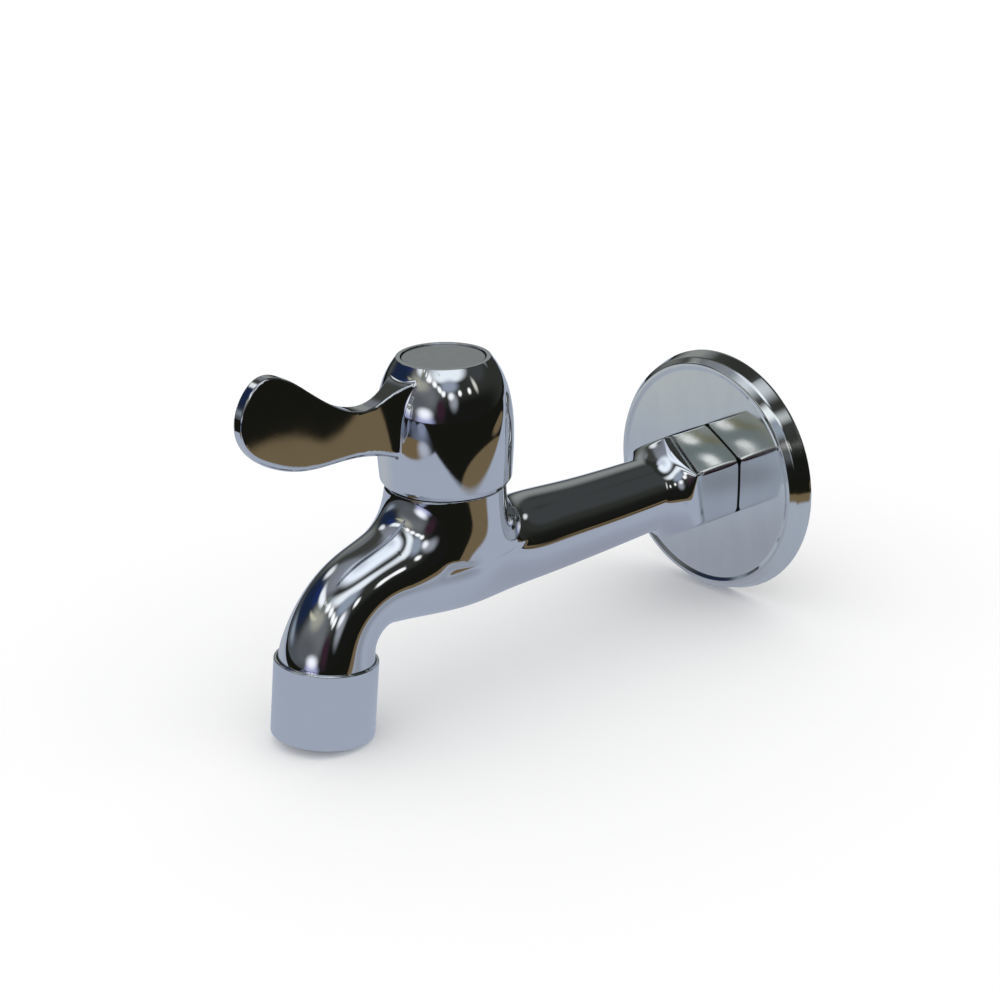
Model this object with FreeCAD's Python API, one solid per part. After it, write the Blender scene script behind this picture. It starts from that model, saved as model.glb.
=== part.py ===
import FreeCAD, Part
import math
import os

# A wall-mounted bib tap with a quarter-turn lever, in millimetres.
# The origin is the point where the inlet axis crosses the wall, with the wall as the plane y = 0.
# The tap stands out from the wall towards -Y, with +Z up. The inlet thread reaches into the wall along +Y.

vec = FreeCAD.Vector
along_x = vec(1, 0, 0)
along_y = vec(0, 1, 0)
along_z = vec(0, 0, 1)
through = 200.0

# How far a cut passes the surface it starts from, and how deep a piece of a solid is set into the next
over = 1.0
sink = 0.5

# How many sections a smooth row is drawn through, and how many points lie on each
outer_sections = 28
inner_sections = 12
flare_sections = 10
section_points = 24

# Clearances between pieces
running_gap = 0.05
free_gap = 0.3
seat_gap = 0.02

# Inlet end: a G 1/2 male thread, drawn at its major diameter, and its relief behind the hexagon
inlet_thread_d = 20.955
inlet_thread_reach = 13.0
inlet_thread_start = -1.0
inlet_chamfer = 1.0
inlet_relief_d = 18.6
inlet_mouth_d = 15.0
inlet_mouth_depth = 12.0
waterway_d = 13.0

# Hexagon for the spanner, and the flare that leads from it down to the tube
hex_across_flats = 27.0
hex_length = 17.2
hex_rounding_r = 15.1
flare_length = 9.0
flare_step = 0.15
hex_end_chamfer = 0.6

# Pressed wall flange, hollow at the back
flange_d = 70.0
flange_lip_d = 64.8
flange_face_d = 61.0
flange_depth = 5.9
flange_lip_rise = 0.6
flange_lip_width = 0.8
flange_edge = 0.8
flange_sheet = 1.2

# Inlet tube and spout: where the round sections stand, how high and how big
valve_y = -101.6
tube_root_r = 10.3
tube_mid_y = -59.6
tube_mid_r = 11.2
tube_late_y = -73.6
tube_late_z = 0.35
tube_late_r = 11.75
tube_end_y = -86.6
tube_end_z = 1.1
tube_end_r = 12.6
belly_z = 4.1
belly_r = 15.6
spout_axis_z = 2.06
spout_root_reach = 11.0
spout_root_rise = 1.3
spout_root_r = 13.9
spout_bend_reach = 21.7
spout_bend_start_r = 11.5
spout_bend_mid_r = 10.85
spout_bend_late_r = 11.3
spout_bend_mid_share = 0.4
spout_bend_late_share = 0.75
spout_bend_sag = 0.4
spout_bend_radius = 18.0
spout_tilt_deg = 6.2
spout_end_r = 12.3

# Boss that carries the headwork
boss_r = 15.3
boss_top_z = 22.5
boss_blend_r = 8.0
boss_sink = 1.2

# Waterways inside the body
seat_z = -1.0
seat_wall = 2.0
seat_hole_r = 5.2
floor_wall = 2.8
chamber_r = 9.9
headwork_thread_d = 20.955
headwork_thread_depth = 10.0
thread_runout = 0.8
undercut_wall = 2.0
channel_width = 11.0
outlet_way_r = 6.0
outlet_way_start_z = 6.2
outlet_way_inset = 3.0
spout_way_r = 7.6
spout_mouth_r = 9.6
mouth_step = 0.5
mouth_step_depth = 1.0

# Threaded end of the spout and the collar that holds the aerator
spout_thread_r = 12.0
spout_thread_length = 8.5
thread_root = 0.4
spout_shoulder_depth = 1.0
collar_r = 13.1
collar_height = 19.7
collar_core_bore_r = 11.1
collar_mouth_lip = 1.6
collar_mouth_r = 9.9
collar_edge = 0.35
washer_thickness = 2.0
washer_hole_r = 9.1
strainer_thickness = 0.6
strainer_hole_r = 0.55
strainer_pitch = 1.9
core_flange_thickness = 1.2
core_plate_thickness = 1.6
core_wall = 1.0
core_ledge = 0.8
core_ledge_height = 0.5
jet_count = 12
jet_hole_r = 0.6
jet_circle_r = 6.6
fine_screen_thickness = 0.4
fine_screen_count = 2
fine_screen_spacing = 0.8
screen_rim = 0.8
screen_pitch = 1.5
screen_wire = 0.3
grid_height = 2.4
grid_cell = 2.5
grid_web = 0.5

# Headwork: a brass cartridge with two ceramic discs
disc_thickness = 3.0
disc_r = 6.9
chamber_wall = 1.5
seal_height = 2.0
seal_wall = 1.9
seal_squeeze = 1.0
port_inner_r = 2.4
port_outer_r = 5.7
port_angle = 80.0
driver_height = 3.5
driver_angle = 40.0
driver_core_r = 3.0
driver_lobe_start_r = 0.5
lever_travel_deg = 90.0
stop_play_deg = 1.0
stop_rib_depth = 1.0
disc_key_depth = 0.9
disc_key_deg = 24.0
disc_key_play_deg = 1.0
tang_depth = 1.4
tang_width = 3.0
tang_length = 9.0
thrust_r = 5.7
thrust_thickness = 1.2
friction_washer_thickness = 0.5
window_angle = 100.0
spindle_r = 4.95
headwork_flange_r = 12.6
headwork_flange_thickness = 1.6
gasket_thickness = 1.0
gasket_hole_r = 10.8
headwork_hex = 19.0
headwork_hex_height = 6.0
headwork_neck_r = 6.9
headwork_top_z = 35.2
o_ring_section = 0.96
o_ring_count = 2
o_ring_spacing = 3.2
o_ring_first_z = 20.0
clip_thickness = 0.9
clip_depth = 0.7
clip_r = 6.4
clip_opening = 5.0
clip_shoulder = 0.4
spline_d = 8.0
spline_depth = 0.35
spline_teeth = 20
spline_relief = 0.4
spline_length = 9.0
screw_thread_d = 5.0
screw_tip_gap = 1.0

# Lever handle: outline of the dome from its skirt to its crown
skirt_z = 23.0
skirt_edge_r = 15.85
skirt_r = 16.75
skirt_bevel = 1.3
dome_belly_z = 36.0
dome_belly_r = 17.35
dome_shoulder_z = 47.0
dome_shoulder_r = 16.1
crown_z = 53.2
crown_r = 13.45
handle_top_z = 55.6
handle_lip_r = 11.8
handle_wall = 2.4
handle_hollow_waist_z = 32.0
handle_hollow_corner = 3.0
handle_hollow_drop = 1.5
handle_hub_r = 8.6
hub_rise = 0.5
bush_wall = 2.3
web_thickness = 2.4

# Round cap that hides the handle screw
cap_r = 10.45
cap_thickness = 1.5
cap_recess = 0.3
cap_side_gap = 0.25
cap_stem_r = 5.6
cap_stem_wall = 0.9
cap_stem_length = 1.6
screw_head_r = 4.4
screw_head_height = 2.6
screw_head_round = 0.6
screw_length = 14.0
screw_slot = 1.1
screw_slot_rim = 1.7
screw_slot_floor = 1.0

# Lever: a thin upright paddle, measured outwards from the handle's axis
lever_reach = 61.9
lever_tip_z = 51.2
paddle_crest_reach = 54.4
paddle_top_z = 61.7
paddle_slope_reach = 42.3
paddle_slope_z = 56.0
paddle_toe_reach = 59.6
paddle_toe_z = 44.2
paddle_heel_reach = 53.0
paddle_heel_z = 39.2
paddle_sole_reach = 43.5
paddle_sole_z = 36.4
neck_top_reach = 33.5
neck_top_z = 50.1
neck_dip_reach = 24.5
neck_dip_z = 48.0
neck_bottom_reach = 30.0
neck_bottom_z = 36.35
root_reach = 14.5
root_top_z = 52.0
root_bottom_z = 32.4
lever_thickness = 3.5
lever_taper_reach = 42.0
lever_taper_thickness = 3.9
lever_neck_reach = 27.0
lever_neck_thickness = 5.2
lever_root_thickness = 6.6
lever_root_reach = 17.0
lever_fan_thickness = 10.0
lever_fan_reach = 13.5
lever_edge_round = 1.0


def polygon_face(points):
    wire = Part.makePolygon(points + [points[0]])
    return Part.Face(wire)


def turned(points, centre, axis):
    """A solid of revolution from (radius, position along the axis) pairs."""
    side = along_x
    face = polygon_face([centre + side * r + axis * t for r, t in points])
    return face.revolve(centre, axis, 360)


def about_z(points, y=0.0):
    return turned(points, vec(0, y, 0), along_z)


def about_y(points):
    return turned(points, vec(0, 0, 0), along_y)


def disc(r, z_low, z_high, y=0.0):
    return Part.makeCylinder(r, z_high - z_low, vec(0, y, z_low), along_z)


def ring(r_in, r_out, z_low, z_high, y=0.0):
    return disc(r_out, z_low, z_high, y).cut(disc(r_in, z_low, z_high, y))


def on_circle(r, degrees, z):
    angle = math.radians(degrees)
    return vec(r * math.cos(angle), r * math.sin(angle), z)


def sector(r_in, r_out, middle, width, z_low, z_high):
    """A piece of a ring about the Z axis, width degrees wide."""
    turns = [middle - width / 2, middle, middle + width / 2]
    out = [on_circle(r_out, turn, z_low) for turn in turns]
    back = [on_circle(r_in, turn, z_low) for turn in reversed(turns)]
    ends = [Part.LineSegment(out[-1], back[0]), Part.LineSegment(back[-1], out[0])]
    sides = [Part.Arc(*out), ends[0], Part.Arc(*back), ends[1]]
    wire = Part.Wire([side.toShape() for side in sides])
    return Part.Face(wire).extrude(vec(0, 0, z_high - z_low))


def hex_prism(across_flats, length, base, axis, corner):
    """A six-sided prism with one corner along the given direction."""
    radius = across_flats / math.sqrt(3)
    points = []
    for k in range(6):
        spin = FreeCAD.Rotation(axis, 60 * k)
        points.append(base + spin.multVec(corner) * radius)
    return polygon_face(points).extrude(axis * length)


def save(name, shape):
    shape.exportStep("parts/" + name + ".step")
    print(name, "solids", len(shape.Solids), "volume", round(shape.Volume, 1), "valid", shape.isValid())


# Places that follow from the sizes above
inlet_thread_r = inlet_thread_d / 2
hex_back_y = -flange_depth
hex_front_y = hex_back_y - hex_length
tube_start_y = hex_front_y - flare_length
bend_y = valve_y - spout_bend_reach
bend_centre = vec(0, bend_y, spout_axis_z - spout_bend_radius)
chamber_floor_z = belly_z - belly_r + floor_wall
channel_top_z = seat_z - seat_wall
headwork_thread_r = headwork_thread_d / 2
disc_chamber_r = disc_r + free_gap
barrel_r = disc_chamber_r + chamber_wall
fixed_disc_z = seat_z + seal_height
moving_disc_z = fixed_disc_z + disc_thickness
driver_z = moving_disc_z + disc_thickness
thrust_z = driver_z + driver_height
friction_z = thrust_z + thrust_thickness
disc_chamber_top_z = friction_z + friction_washer_thickness
headwork_flange_z = boss_top_z + gasket_thickness
headwork_hex_z = headwork_flange_z + headwork_flange_thickness
spindle_bore_r = spindle_r + running_gap
clip_groove_z = headwork_top_z + running_gap
shaft_top_z = clip_groove_z + clip_thickness + running_gap + clip_shoulder
spline_start_z = shaft_top_z + spline_relief
spindle_top_z = spline_start_z + spline_length
web_z = spindle_top_z + free_gap
well_z = web_z + web_thickness
spindle_tapping_z = well_z - screw_length - screw_tip_gap
cap_z = handle_top_z - cap_recess - cap_thickness
bush_r = spline_d / 2 + bush_wall
channel_end_y = valve_y + chamber_r + undercut_wall + waterway_d / 2
washer_z = spout_shoulder_depth + spout_thread_length + seat_gap
core_z = washer_z + washer_thickness
core_seat_z = core_z + core_flange_thickness
core_flange_r = spout_thread_r
core_r = collar_core_bore_r - running_gap
grid_bottom_z = collar_height - collar_mouth_lip
grid_z = grid_bottom_z - grid_height
screens_end_z = grid_z - core_ledge_height
barrel_base_z = seat_z + seal_squeeze
headwork_thread_z = boss_top_z - headwork_thread_depth + thread_runout
o_ring_core_r = spindle_r - o_ring_section / 2 + seat_gap
open_angle = 0.0
stop_width = 180 - driver_angle - lever_travel_deg - 2 * stop_play_deg
stop_middle = open_angle + driver_angle / 2 + lever_travel_deg + stop_play_deg + stop_width / 2
window_middle = open_angle + lever_travel_deg / 2
hub_z = spline_start_z + hub_rise


def bend_point(down_deg):
    """A point on the centre line of the spout's bend, down_deg past its level start."""
    angle = math.radians(90 - down_deg)
    reach = vec(0, -math.cos(angle), math.sin(angle))
    return bend_centre + reach * spout_bend_radius


def bend_direction(down_deg):
    angle = math.radians(down_deg)
    return vec(0, -math.cos(angle), -math.sin(angle))


bend_end_deg = 90 - spout_tilt_deg
bend_start = -bend_y
bend_length = math.radians(bend_end_deg) * spout_bend_radius
outlet_point = bend_point(bend_end_deg)
outlet_axis = bend_direction(bend_end_deg)
outlet_frame = FreeCAD.Placement(outlet_point, FreeCAD.Rotation(along_z, outlet_axis))


def at_outlet(shape):
    """Carries a shape built about +Z from the origin to the spout's end, with +Z along the flow."""
    moved = shape.copy()
    moved.Placement = outlet_frame
    return moved


def at_valve(shape):
    moved = shape.copy()
    moved.translate(vec(0, valve_y, 0))
    return moved


def round_section(centre, normal, radius):
    """A closed smooth curve through evenly spaced points of a circle."""
    up = along_x.cross(normal)
    points = []
    for k in range(section_points):
        angle = 2 * math.pi * k / section_points
        points.append(centre + along_x * (radius * math.cos(angle)) + up * (radius * math.sin(angle)))
    curve = Part.BSplineCurve()
    curve.interpolate(points, PeriodicFlag=True)
    return Part.Wire([curve.toShape()])


# Body: a flare that leads from the tube to the corners of the hexagon, its radius growing with the square
def flare():
    rise = hex_rounding_r + flare_step - tube_root_r
    wires = []
    for k in range(flare_sections):
        share = k / (flare_sections - 1)
        centre = vec(0, tube_start_y + share * flare_length, 0)
        wires.append(round_section(centre, -along_y, tube_root_r + rise * share ** 2))
    return Part.makeLoft(wires, True, False)


# Body: the inlet end, turned and cut to a hexagon
def inlet_end():
    turned_end = about_y([
        (0, hex_front_y), (hex_rounding_r, hex_front_y), (hex_rounding_r, hex_back_y - hex_end_chamfer),
        (hex_rounding_r - hex_end_chamfer, hex_back_y), (0, hex_back_y),
    ])
    block = hex_prism(hex_across_flats, hex_length + flare_length, vec(0, tube_start_y, 0), along_y, along_z)
    shaped = turned_end.fuse(flare()).common(block)
    relief_r = inlet_relief_d / 2
    thread = about_y([
        (0, hex_back_y - sink), (relief_r, hex_back_y - sink),
        (relief_r, inlet_thread_start - inlet_chamfer),
        (inlet_thread_r, inlet_thread_start), (inlet_thread_r, inlet_thread_reach - inlet_chamfer),
        (inlet_thread_r - inlet_chamfer, inlet_thread_reach), (0, inlet_thread_reach),
    ])
    return shaped.fuse(thread)


# Body: a point on the centre line of the spout, level up to the bend, and the way on from it
def on_centre_line(distance):
    if distance < bend_start:
        return vec(0, -distance, spout_axis_z), -along_y
    if distance > bend_start + bend_length:
        return outlet_point + outlet_axis * (distance - bend_start - bend_length), outlet_axis
    down_deg = math.degrees((distance - bend_start) / spout_bend_radius)
    return bend_point(down_deg), bend_direction(down_deg)


def round_row(keys, count):
    """A smooth solid of round sections; each key is a distance from the wall, a radius and a rise."""
    curve = Part.BSplineCurve()
    curve.interpolate([vec(*key) for key in keys])
    wires = []
    for distance, radius, rise in curve.discretize(count):
        centre, normal = on_centre_line(distance)
        centre = centre - along_x.cross(normal) * rise
        wires.append(round_section(centre, normal, radius))
    return Part.makeLoft(wires, True, False)


# Body: the tube, the belly under the valve and the spout, with the boss for the headwork
def tube_and_spout():
    keys = [
        (-tube_start_y, tube_root_r, -spout_axis_z),
        (-tube_mid_y, tube_mid_r, -spout_axis_z),
        (-tube_late_y, tube_late_r, tube_late_z - spout_axis_z),
        (-tube_end_y, tube_end_r, tube_end_z - spout_axis_z),
        (-valve_y, belly_r, belly_z - spout_axis_z),
        (spout_root_reach - valve_y, spout_root_r, spout_root_rise),
        (bend_start, spout_bend_start_r, 0),
        (bend_start + spout_bend_mid_share * bend_length, spout_bend_mid_r, -spout_bend_sag),
        (bend_start + spout_bend_late_share * bend_length, spout_bend_late_r, -spout_bend_sag),
        (bend_start + bend_length + spout_shoulder_depth, spout_end_r, 0),
    ]
    row = round_row(keys, outer_sections)
    boss = disc(boss_r, belly_z + boss_sink, boss_top_z, valve_y)
    outer = row.fuse(boss)
    blend = []
    for edge in outer.Edges:
        box = edge.BoundBox
        near_boss = box.YMin > valve_y - boss_r - over and box.YMax < valve_y + boss_r + over
        if near_boss and box.ZMax < boss_top_z - over:
            blend.append(edge)
    return outer.makeFillet(boss_blend_r, blend)


# Body: the hollow of the spout, from the valve chamber round the bend to the mouth
def spout_way():
    keys = [
        (chamber_r - outlet_way_inset - valve_y, outlet_way_r, outlet_way_start_z - spout_axis_z),
        (bend_start, spout_way_r, 0),
        (bend_start + bend_length / 2, spout_way_r, 0),
        (bend_start + bend_length + mouth_step_depth, spout_mouth_r - mouth_step, 0),
    ]
    mouth = Part.makeCylinder(spout_mouth_r, spout_shoulder_depth + spout_thread_length + over)
    return round_row(keys, inner_sections).fuse(at_outlet(mouth))


# Body: the inlet waterway runs in under the valve seat, rises through it and leaves by the spout
def waterways():
    inlet_end_point = vec(0, inlet_thread_reach + over, 0)
    mouth = Part.makeCylinder(inlet_mouth_d / 2, inlet_mouth_depth + over, inlet_end_point, -along_y)
    waterway_start = vec(0, inlet_thread_reach - inlet_mouth_depth + over, 0)
    waterway_length = waterway_start.y - channel_end_y
    waterway = Part.makeCylinder(waterway_d / 2, waterway_length, waterway_start, -along_y)
    waterway_end = Part.makeSphere(waterway_d / 2, vec(0, channel_end_y, 0))
    channel = Part.makeBox(channel_width, channel_end_y - valve_y, channel_top_z - chamber_floor_z,
                           vec(-channel_width / 2, valve_y, chamber_floor_z))
    channel_well = disc(channel_width / 2, chamber_floor_z, channel_top_z, valve_y)
    seat_hole = disc(seat_hole_r, channel_top_z - over, seat_z + over, valve_y)
    chamber = disc(chamber_r, seat_z, boss_top_z + over, valve_y)
    tapping = disc(headwork_thread_r, boss_top_z - headwork_thread_depth, boss_top_z + over, valve_y)
    cut = mouth
    for part in [waterway, waterway_end, channel, channel_well, seat_hole, chamber, tapping, spout_way()]:
        cut = cut.fuse(part)
    return cut


def body():
    thread = disc(spout_thread_r, -thread_root, spout_shoulder_depth + spout_thread_length)
    outside = tube_and_spout().fuse(inlet_end()).fuse(at_outlet(thread))
    return outside.cut(waterways()).removeSplitter()


# Wall flange: a pressed dish whose rim rests on the wall
def wall_flange():
    rim_r = flange_d / 2
    lip_r = flange_lip_d / 2
    face_r = flange_face_d / 2
    hole_r = inlet_thread_r + free_gap
    lip_y = -(flange_depth + flange_lip_rise)
    lip_back_y = lip_y + flange_sheet
    inner_y = flange_sheet - flange_depth
    return about_y([
        (hole_r, -flange_depth), (face_r, -flange_depth), (lip_r - flange_lip_width, lip_y), (lip_r, lip_y),
        (rim_r, -flange_edge), (rim_r, 0), (rim_r - flange_sheet, 0), (rim_r - flange_sheet, -flange_edge),
        (lip_r - flange_sheet, lip_back_y), (lip_r - flange_lip_width - flange_sheet / 2, lip_back_y),
        (face_r, inner_y), (hole_r, inner_y),
    ])


# Aerator: built about +Z from the spout's end, with +Z along the flow
def aerator_collar():
    bore_r = spout_thread_r + running_gap
    rim_r = spout_end_r + running_gap
    step_z = spout_shoulder_depth + seat_gap
    return about_z([
        (collar_r - collar_edge, 0), (collar_r, collar_edge), (collar_r, collar_height - collar_edge),
        (collar_r - collar_edge, collar_height), (collar_mouth_r, collar_height),
        (collar_mouth_r, grid_bottom_z), (collar_core_bore_r, grid_bottom_z),
        (collar_core_bore_r, core_seat_z), (bore_r, core_seat_z), (bore_r, step_z),
        (rim_r, step_z), (rim_r, 0),
    ])


def aerator_washer():
    return ring(washer_hole_r, core_flange_r, washer_z, core_z)


def strainer():
    """The flat coarse strainer that lies on the core, inside the washer."""
    plate = disc(washer_hole_r - seat_gap, core_z - strainer_thickness, core_z)
    holes = []
    steps = int(washer_hole_r / strainer_pitch)
    for i in range(-steps, steps + 1):
        for j in range(-steps, steps + 1):
            spot = vec(i * strainer_pitch, j * strainer_pitch, core_z - strainer_thickness - over)
            if math.hypot(spot.x, spot.y) < washer_hole_r - 2 * strainer_hole_r:
                holes.append(Part.makeCylinder(strainer_hole_r, strainer_thickness + 2 * over, spot))
    return plate.cut(holes)


def aerator_core():
    """A plastic cup whose top plate has a ring of jets; the wall keeps the screens and the grid."""
    flange = disc(core_flange_r, core_z, core_seat_z)
    cup = disc(core_r, core_z, grid_z)
    hollow = disc(core_r - core_wall, core_z + core_plate_thickness, grid_z)
    ledge = ring(core_r - core_wall - core_ledge, core_r, screens_end_z, grid_z)
    jets = []
    for k in range(jet_count):
        spot = on_circle(jet_circle_r, 360 * k / jet_count, core_z - over)
        jets.append(Part.makeCylinder(jet_hole_r, core_plate_thickness + 2 * over, spot))
    return flange.fuse(cup).cut(hollow).fuse(ledge).cut(jets)


def fine_screens():
    """Fine mesh discs below the jets, drawn as thin rims with crossed wires."""
    screens = []
    reach = core_r - core_wall - seat_gap
    for k in range(fine_screen_count):
        low = screens_end_z - (k + 1) * fine_screen_spacing
        top = low + fine_screen_thickness
        rim = ring(reach - screen_rim, reach, low, top)
        inside = disc(reach - screen_rim / 2, low, top)
        wires = []
        count = int(reach / screen_pitch)
        for i in range(-count, count + 1):
            at = i * screen_pitch - screen_wire / 2
            wires.append(Part.makeBox(screen_wire, 2 * reach, fine_screen_thickness, vec(at, -reach, low)))
            wires.append(Part.makeBox(2 * reach, screen_wire, fine_screen_thickness, vec(-reach, at, low)))
        mesh = wires[0].fuse(wires[1:]).common(inside)
        screens.append(rim.fuse(mesh))
    return Part.makeCompound(screens)


def flow_grid():
    """The honeycomb that the water leaves through."""
    outer = disc(collar_core_bore_r - seat_gap, grid_z, grid_bottom_z - seat_gap)
    pitch = grid_cell + grid_web
    row_pitch = pitch * math.sqrt(3) / 2
    cells = []
    rows = int(collar_core_bore_r / row_pitch) + 1
    for i in range(-rows, rows + 1):
        for j in range(-rows, rows + 1):
            base = vec((j + 0.5 * (i % 2)) * pitch, i * row_pitch, grid_z - over)
            if math.hypot(base.x, base.y) < collar_mouth_r - grid_cell / 2:
                cells.append(hex_prism(grid_cell, grid_height + 2 * over, base, along_z, along_y))
    return outer.cut(cells)


# Headwork: built about the valve axis with its heights as in the tap
def headwork_body():
    shell = disc(barrel_r, barrel_base_z, headwork_flange_z)
    thread = disc(headwork_thread_r - running_gap, headwork_thread_z, boss_top_z - thread_runout)
    flange = disc(headwork_flange_r, headwork_flange_z, headwork_hex_z)
    nut = hex_prism(headwork_hex, headwork_hex_height, vec(0, 0, headwork_hex_z), along_z, along_x)
    neck = disc(headwork_neck_r, headwork_hex_z, headwork_top_z)
    solid = shell.fuse(thread).fuse(flange).fuse(nut).fuse(neck)
    chamber = disc(disc_chamber_r, barrel_base_z, disc_chamber_top_z)
    bore = disc(spindle_bore_r, disc_chamber_top_z - over, headwork_top_z + over)
    solid = solid.cut(chamber).cut(bore)
    for middle in (window_middle, window_middle + 180):
        window = sector(disc_chamber_r - over, barrel_r + over, middle, window_angle,
                        moving_disc_z + free_gap, thrust_z)
        solid = solid.cut(window)
    for middle in (stop_middle, stop_middle + 180):
        rib = sector(disc_chamber_r - stop_rib_depth, disc_chamber_r + sink, middle, stop_width,
                     driver_z + free_gap, thrust_z)
        key = sector(disc_chamber_r - disc_key_depth, disc_chamber_r + sink, middle, disc_key_deg,
                     fixed_disc_z + free_gap, moving_disc_z - free_gap)
        solid = solid.fuse([rib, key])
    return solid.removeSplitter()


def headwork_gasket():
    return ring(gasket_hole_r, headwork_flange_r, boss_top_z, headwork_flange_z)


def seat_seal():
    """The rubber ring under the fixed disc."""
    return ring(disc_chamber_r - seat_gap - seal_wall, disc_chamber_r - seat_gap, seat_z, fixed_disc_z)


def ports(start, low, high):
    return [sector(port_inner_r, port_outer_r, start + turn, port_angle, low, high) for turn in (0, 180)]


def fixed_disc():
    low = fixed_disc_z - over
    high = moving_disc_z + over
    plate = disc(disc_chamber_r - seat_gap, fixed_disc_z, moving_disc_z).cut(ports(open_angle, low, high))
    for middle in (stop_middle, stop_middle + 180):
        notch = sector(disc_chamber_r - disc_key_depth - seat_gap, disc_chamber_r + over, middle,
                       disc_key_deg + disc_key_play_deg, low, high)
        plate = plate.cut(notch)
    return plate


def moving_disc():
    closed_ports = ports(open_angle - lever_travel_deg, moving_disc_z - over, driver_z + over)
    slot_length = tang_length + 2 * running_gap
    slot_width = tang_width + 2 * running_gap
    slot_corner = vec(-slot_length / 2, -slot_width / 2, driver_z - tang_depth - running_gap)
    slot = Part.makeBox(slot_length, slot_width, tang_depth + running_gap + over, slot_corner)
    slot.rotate(vec(0, 0, 0), along_z, open_angle)
    return disc(disc_r, moving_disc_z, driver_z).cut(closed_ports).cut(slot)


def spindle():
    driver_r = disc_chamber_r - free_gap
    shaft = disc(spindle_r, thrust_z, shaft_top_z)
    core = disc(driver_core_r, driver_z, thrust_z)
    lobes = [sector(driver_lobe_start_r, driver_r, open_angle + turn, driver_angle, driver_z, thrust_z)
             for turn in (0, 180)]
    thrust = disc(thrust_r, thrust_z, friction_z)
    tang_corner = vec(-tang_length / 2, -tang_width / 2, driver_z - tang_depth)
    tang = Part.makeBox(tang_length, tang_width, tang_depth + sink, tang_corner)
    tang.rotate(vec(0, 0, 0), along_z, open_angle)
    solid = shaft.fuse([core] + lobes + [thrust, tang])
    groove_half = o_ring_section / 2 + seat_gap
    for k in range(o_ring_count):
        low = o_ring_first_z + k * o_ring_spacing - groove_half
        groove = ring(o_ring_core_r - groove_half, spindle_r + over, low, low + 2 * groove_half)
        solid = solid.cut(groove)
    clip_groove_top_z = clip_groove_z + clip_thickness + running_gap
    solid = solid.cut(ring(spindle_r - clip_depth, spindle_r + over, clip_groove_z, clip_groove_top_z))
    splined = disc(spline_d / 2, shaft_top_z - sink, spindle_top_z)
    tooth_gaps = []
    for k in range(spline_teeth):
        spot = on_circle(spline_d / 2 + spline_depth, 360 * k / spline_teeth, spline_start_z)
        tooth_gaps.append(Part.makeCylinder(2 * spline_depth, spline_length + over, spot))
    solid = solid.fuse(splined.cut(tooth_gaps))
    return solid.cut(disc(screw_thread_d / 2, spindle_tapping_z, spindle_top_z + over))


def spindle_o_rings():
    rings = []
    for k in range(o_ring_count):
        z = o_ring_first_z + k * o_ring_spacing
        rings.append(Part.makeTorus(o_ring_core_r, o_ring_section / 2, vec(0, 0, z), along_z))
    return Part.makeCompound(rings)


def friction_washer():
    return ring(spindle_bore_r, thrust_r, friction_z, disc_chamber_top_z)


def retaining_clip():
    """An open ring sprung into the spindle's groove above the headwork."""
    inner = spindle_r - clip_depth + seat_gap
    whole = ring(inner, clip_r, clip_groove_z, clip_groove_z + clip_thickness)
    gap_corner = vec(-clip_opening / 2, 0, clip_groove_z - over)
    return whole.cut(Part.makeBox(clip_opening, clip_r + over, clip_thickness + 2 * over, gap_corner))


# Handle: dome, lever and the hub for the bush
def dome():
    outline = [
        vec(skirt_r, 0, skirt_z + skirt_bevel), vec(dome_belly_r, 0, dome_belly_z),
        vec(dome_shoulder_r, 0, dome_shoulder_z), vec(crown_r, 0, crown_z),
        vec(handle_lip_r, 0, handle_top_z),
    ]
    curve = Part.BSplineCurve()
    curve.interpolate(outline)
    bottom = [vec(0, 0, skirt_z), vec(skirt_edge_r, 0, skirt_z)]
    sides = Part.makePolygon([outline[-1], vec(0, 0, handle_top_z)] + bottom + [outline[0]])
    wire = Part.Wire([curve.toShape()] + sides.Edges)
    return Part.Face(wire).revolve(vec(0, 0, 0), along_z, 360)


def lever():
    """The outline is swept across the lever's plane and trimmed by its plan, which widens to the dome."""
    keys = [
        (root_reach, root_top_z), (neck_dip_reach, neck_dip_z), (neck_top_reach, neck_top_z),
        (paddle_slope_reach, paddle_slope_z), (paddle_crest_reach, paddle_top_z),
        (lever_reach, lever_tip_z), (paddle_toe_reach, paddle_toe_z),
        (paddle_heel_reach, paddle_heel_z), (paddle_sole_reach, paddle_sole_z),
        (neck_bottom_reach, neck_bottom_z), (root_reach, root_bottom_z),
    ]
    outline = [vec(0, -reach, z) for reach, z in keys]
    curve = Part.BSplineCurve()
    curve.interpolate(outline)
    inner = Part.makePolygon([outline[-1], vec(0, 0, root_bottom_z), vec(0, 0, root_top_z), outline[0]])
    face = Part.Face(Part.Wire([curve.toShape()] + inner.Edges))
    blank = face.extrude(vec(2 * lever_fan_thickness, 0, 0))
    blank.translate(vec(-lever_fan_thickness, 0, 0))
    plan_keys = [
        (lever_thickness, lever_reach + over), (lever_thickness, paddle_crest_reach),
        (lever_taper_thickness, lever_taper_reach), (lever_neck_thickness, lever_neck_reach),
        (lever_root_thickness, lever_root_reach), (lever_fan_thickness, lever_fan_reach),
    ]
    right = [vec(thickness / 2, -reach, 0) for thickness, reach in plan_keys]
    left = [vec(-point.x, point.y, 0) for point in right]
    right_curve = Part.BSplineCurve()
    right_curve.interpolate(right)
    left_curve = Part.BSplineCurve()
    left_curve.interpolate(left)
    ends = [Part.LineSegment(left[0], right[0]), Part.LineSegment(left[-1], right[-1])]
    sides = [side.toShape() for side in [right_curve, left_curve] + ends]
    plan = Part.Face(Part.Wire(Part.__sortEdges__(sides)))
    trimmed = blank.common(plan.extrude(vec(0, 0, through)))
    long_edges = [edge for edge in trimmed.Edges if edge.Length > lever_reach]
    return trimmed.makeFillet(lever_edge_round, long_edges)


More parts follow.
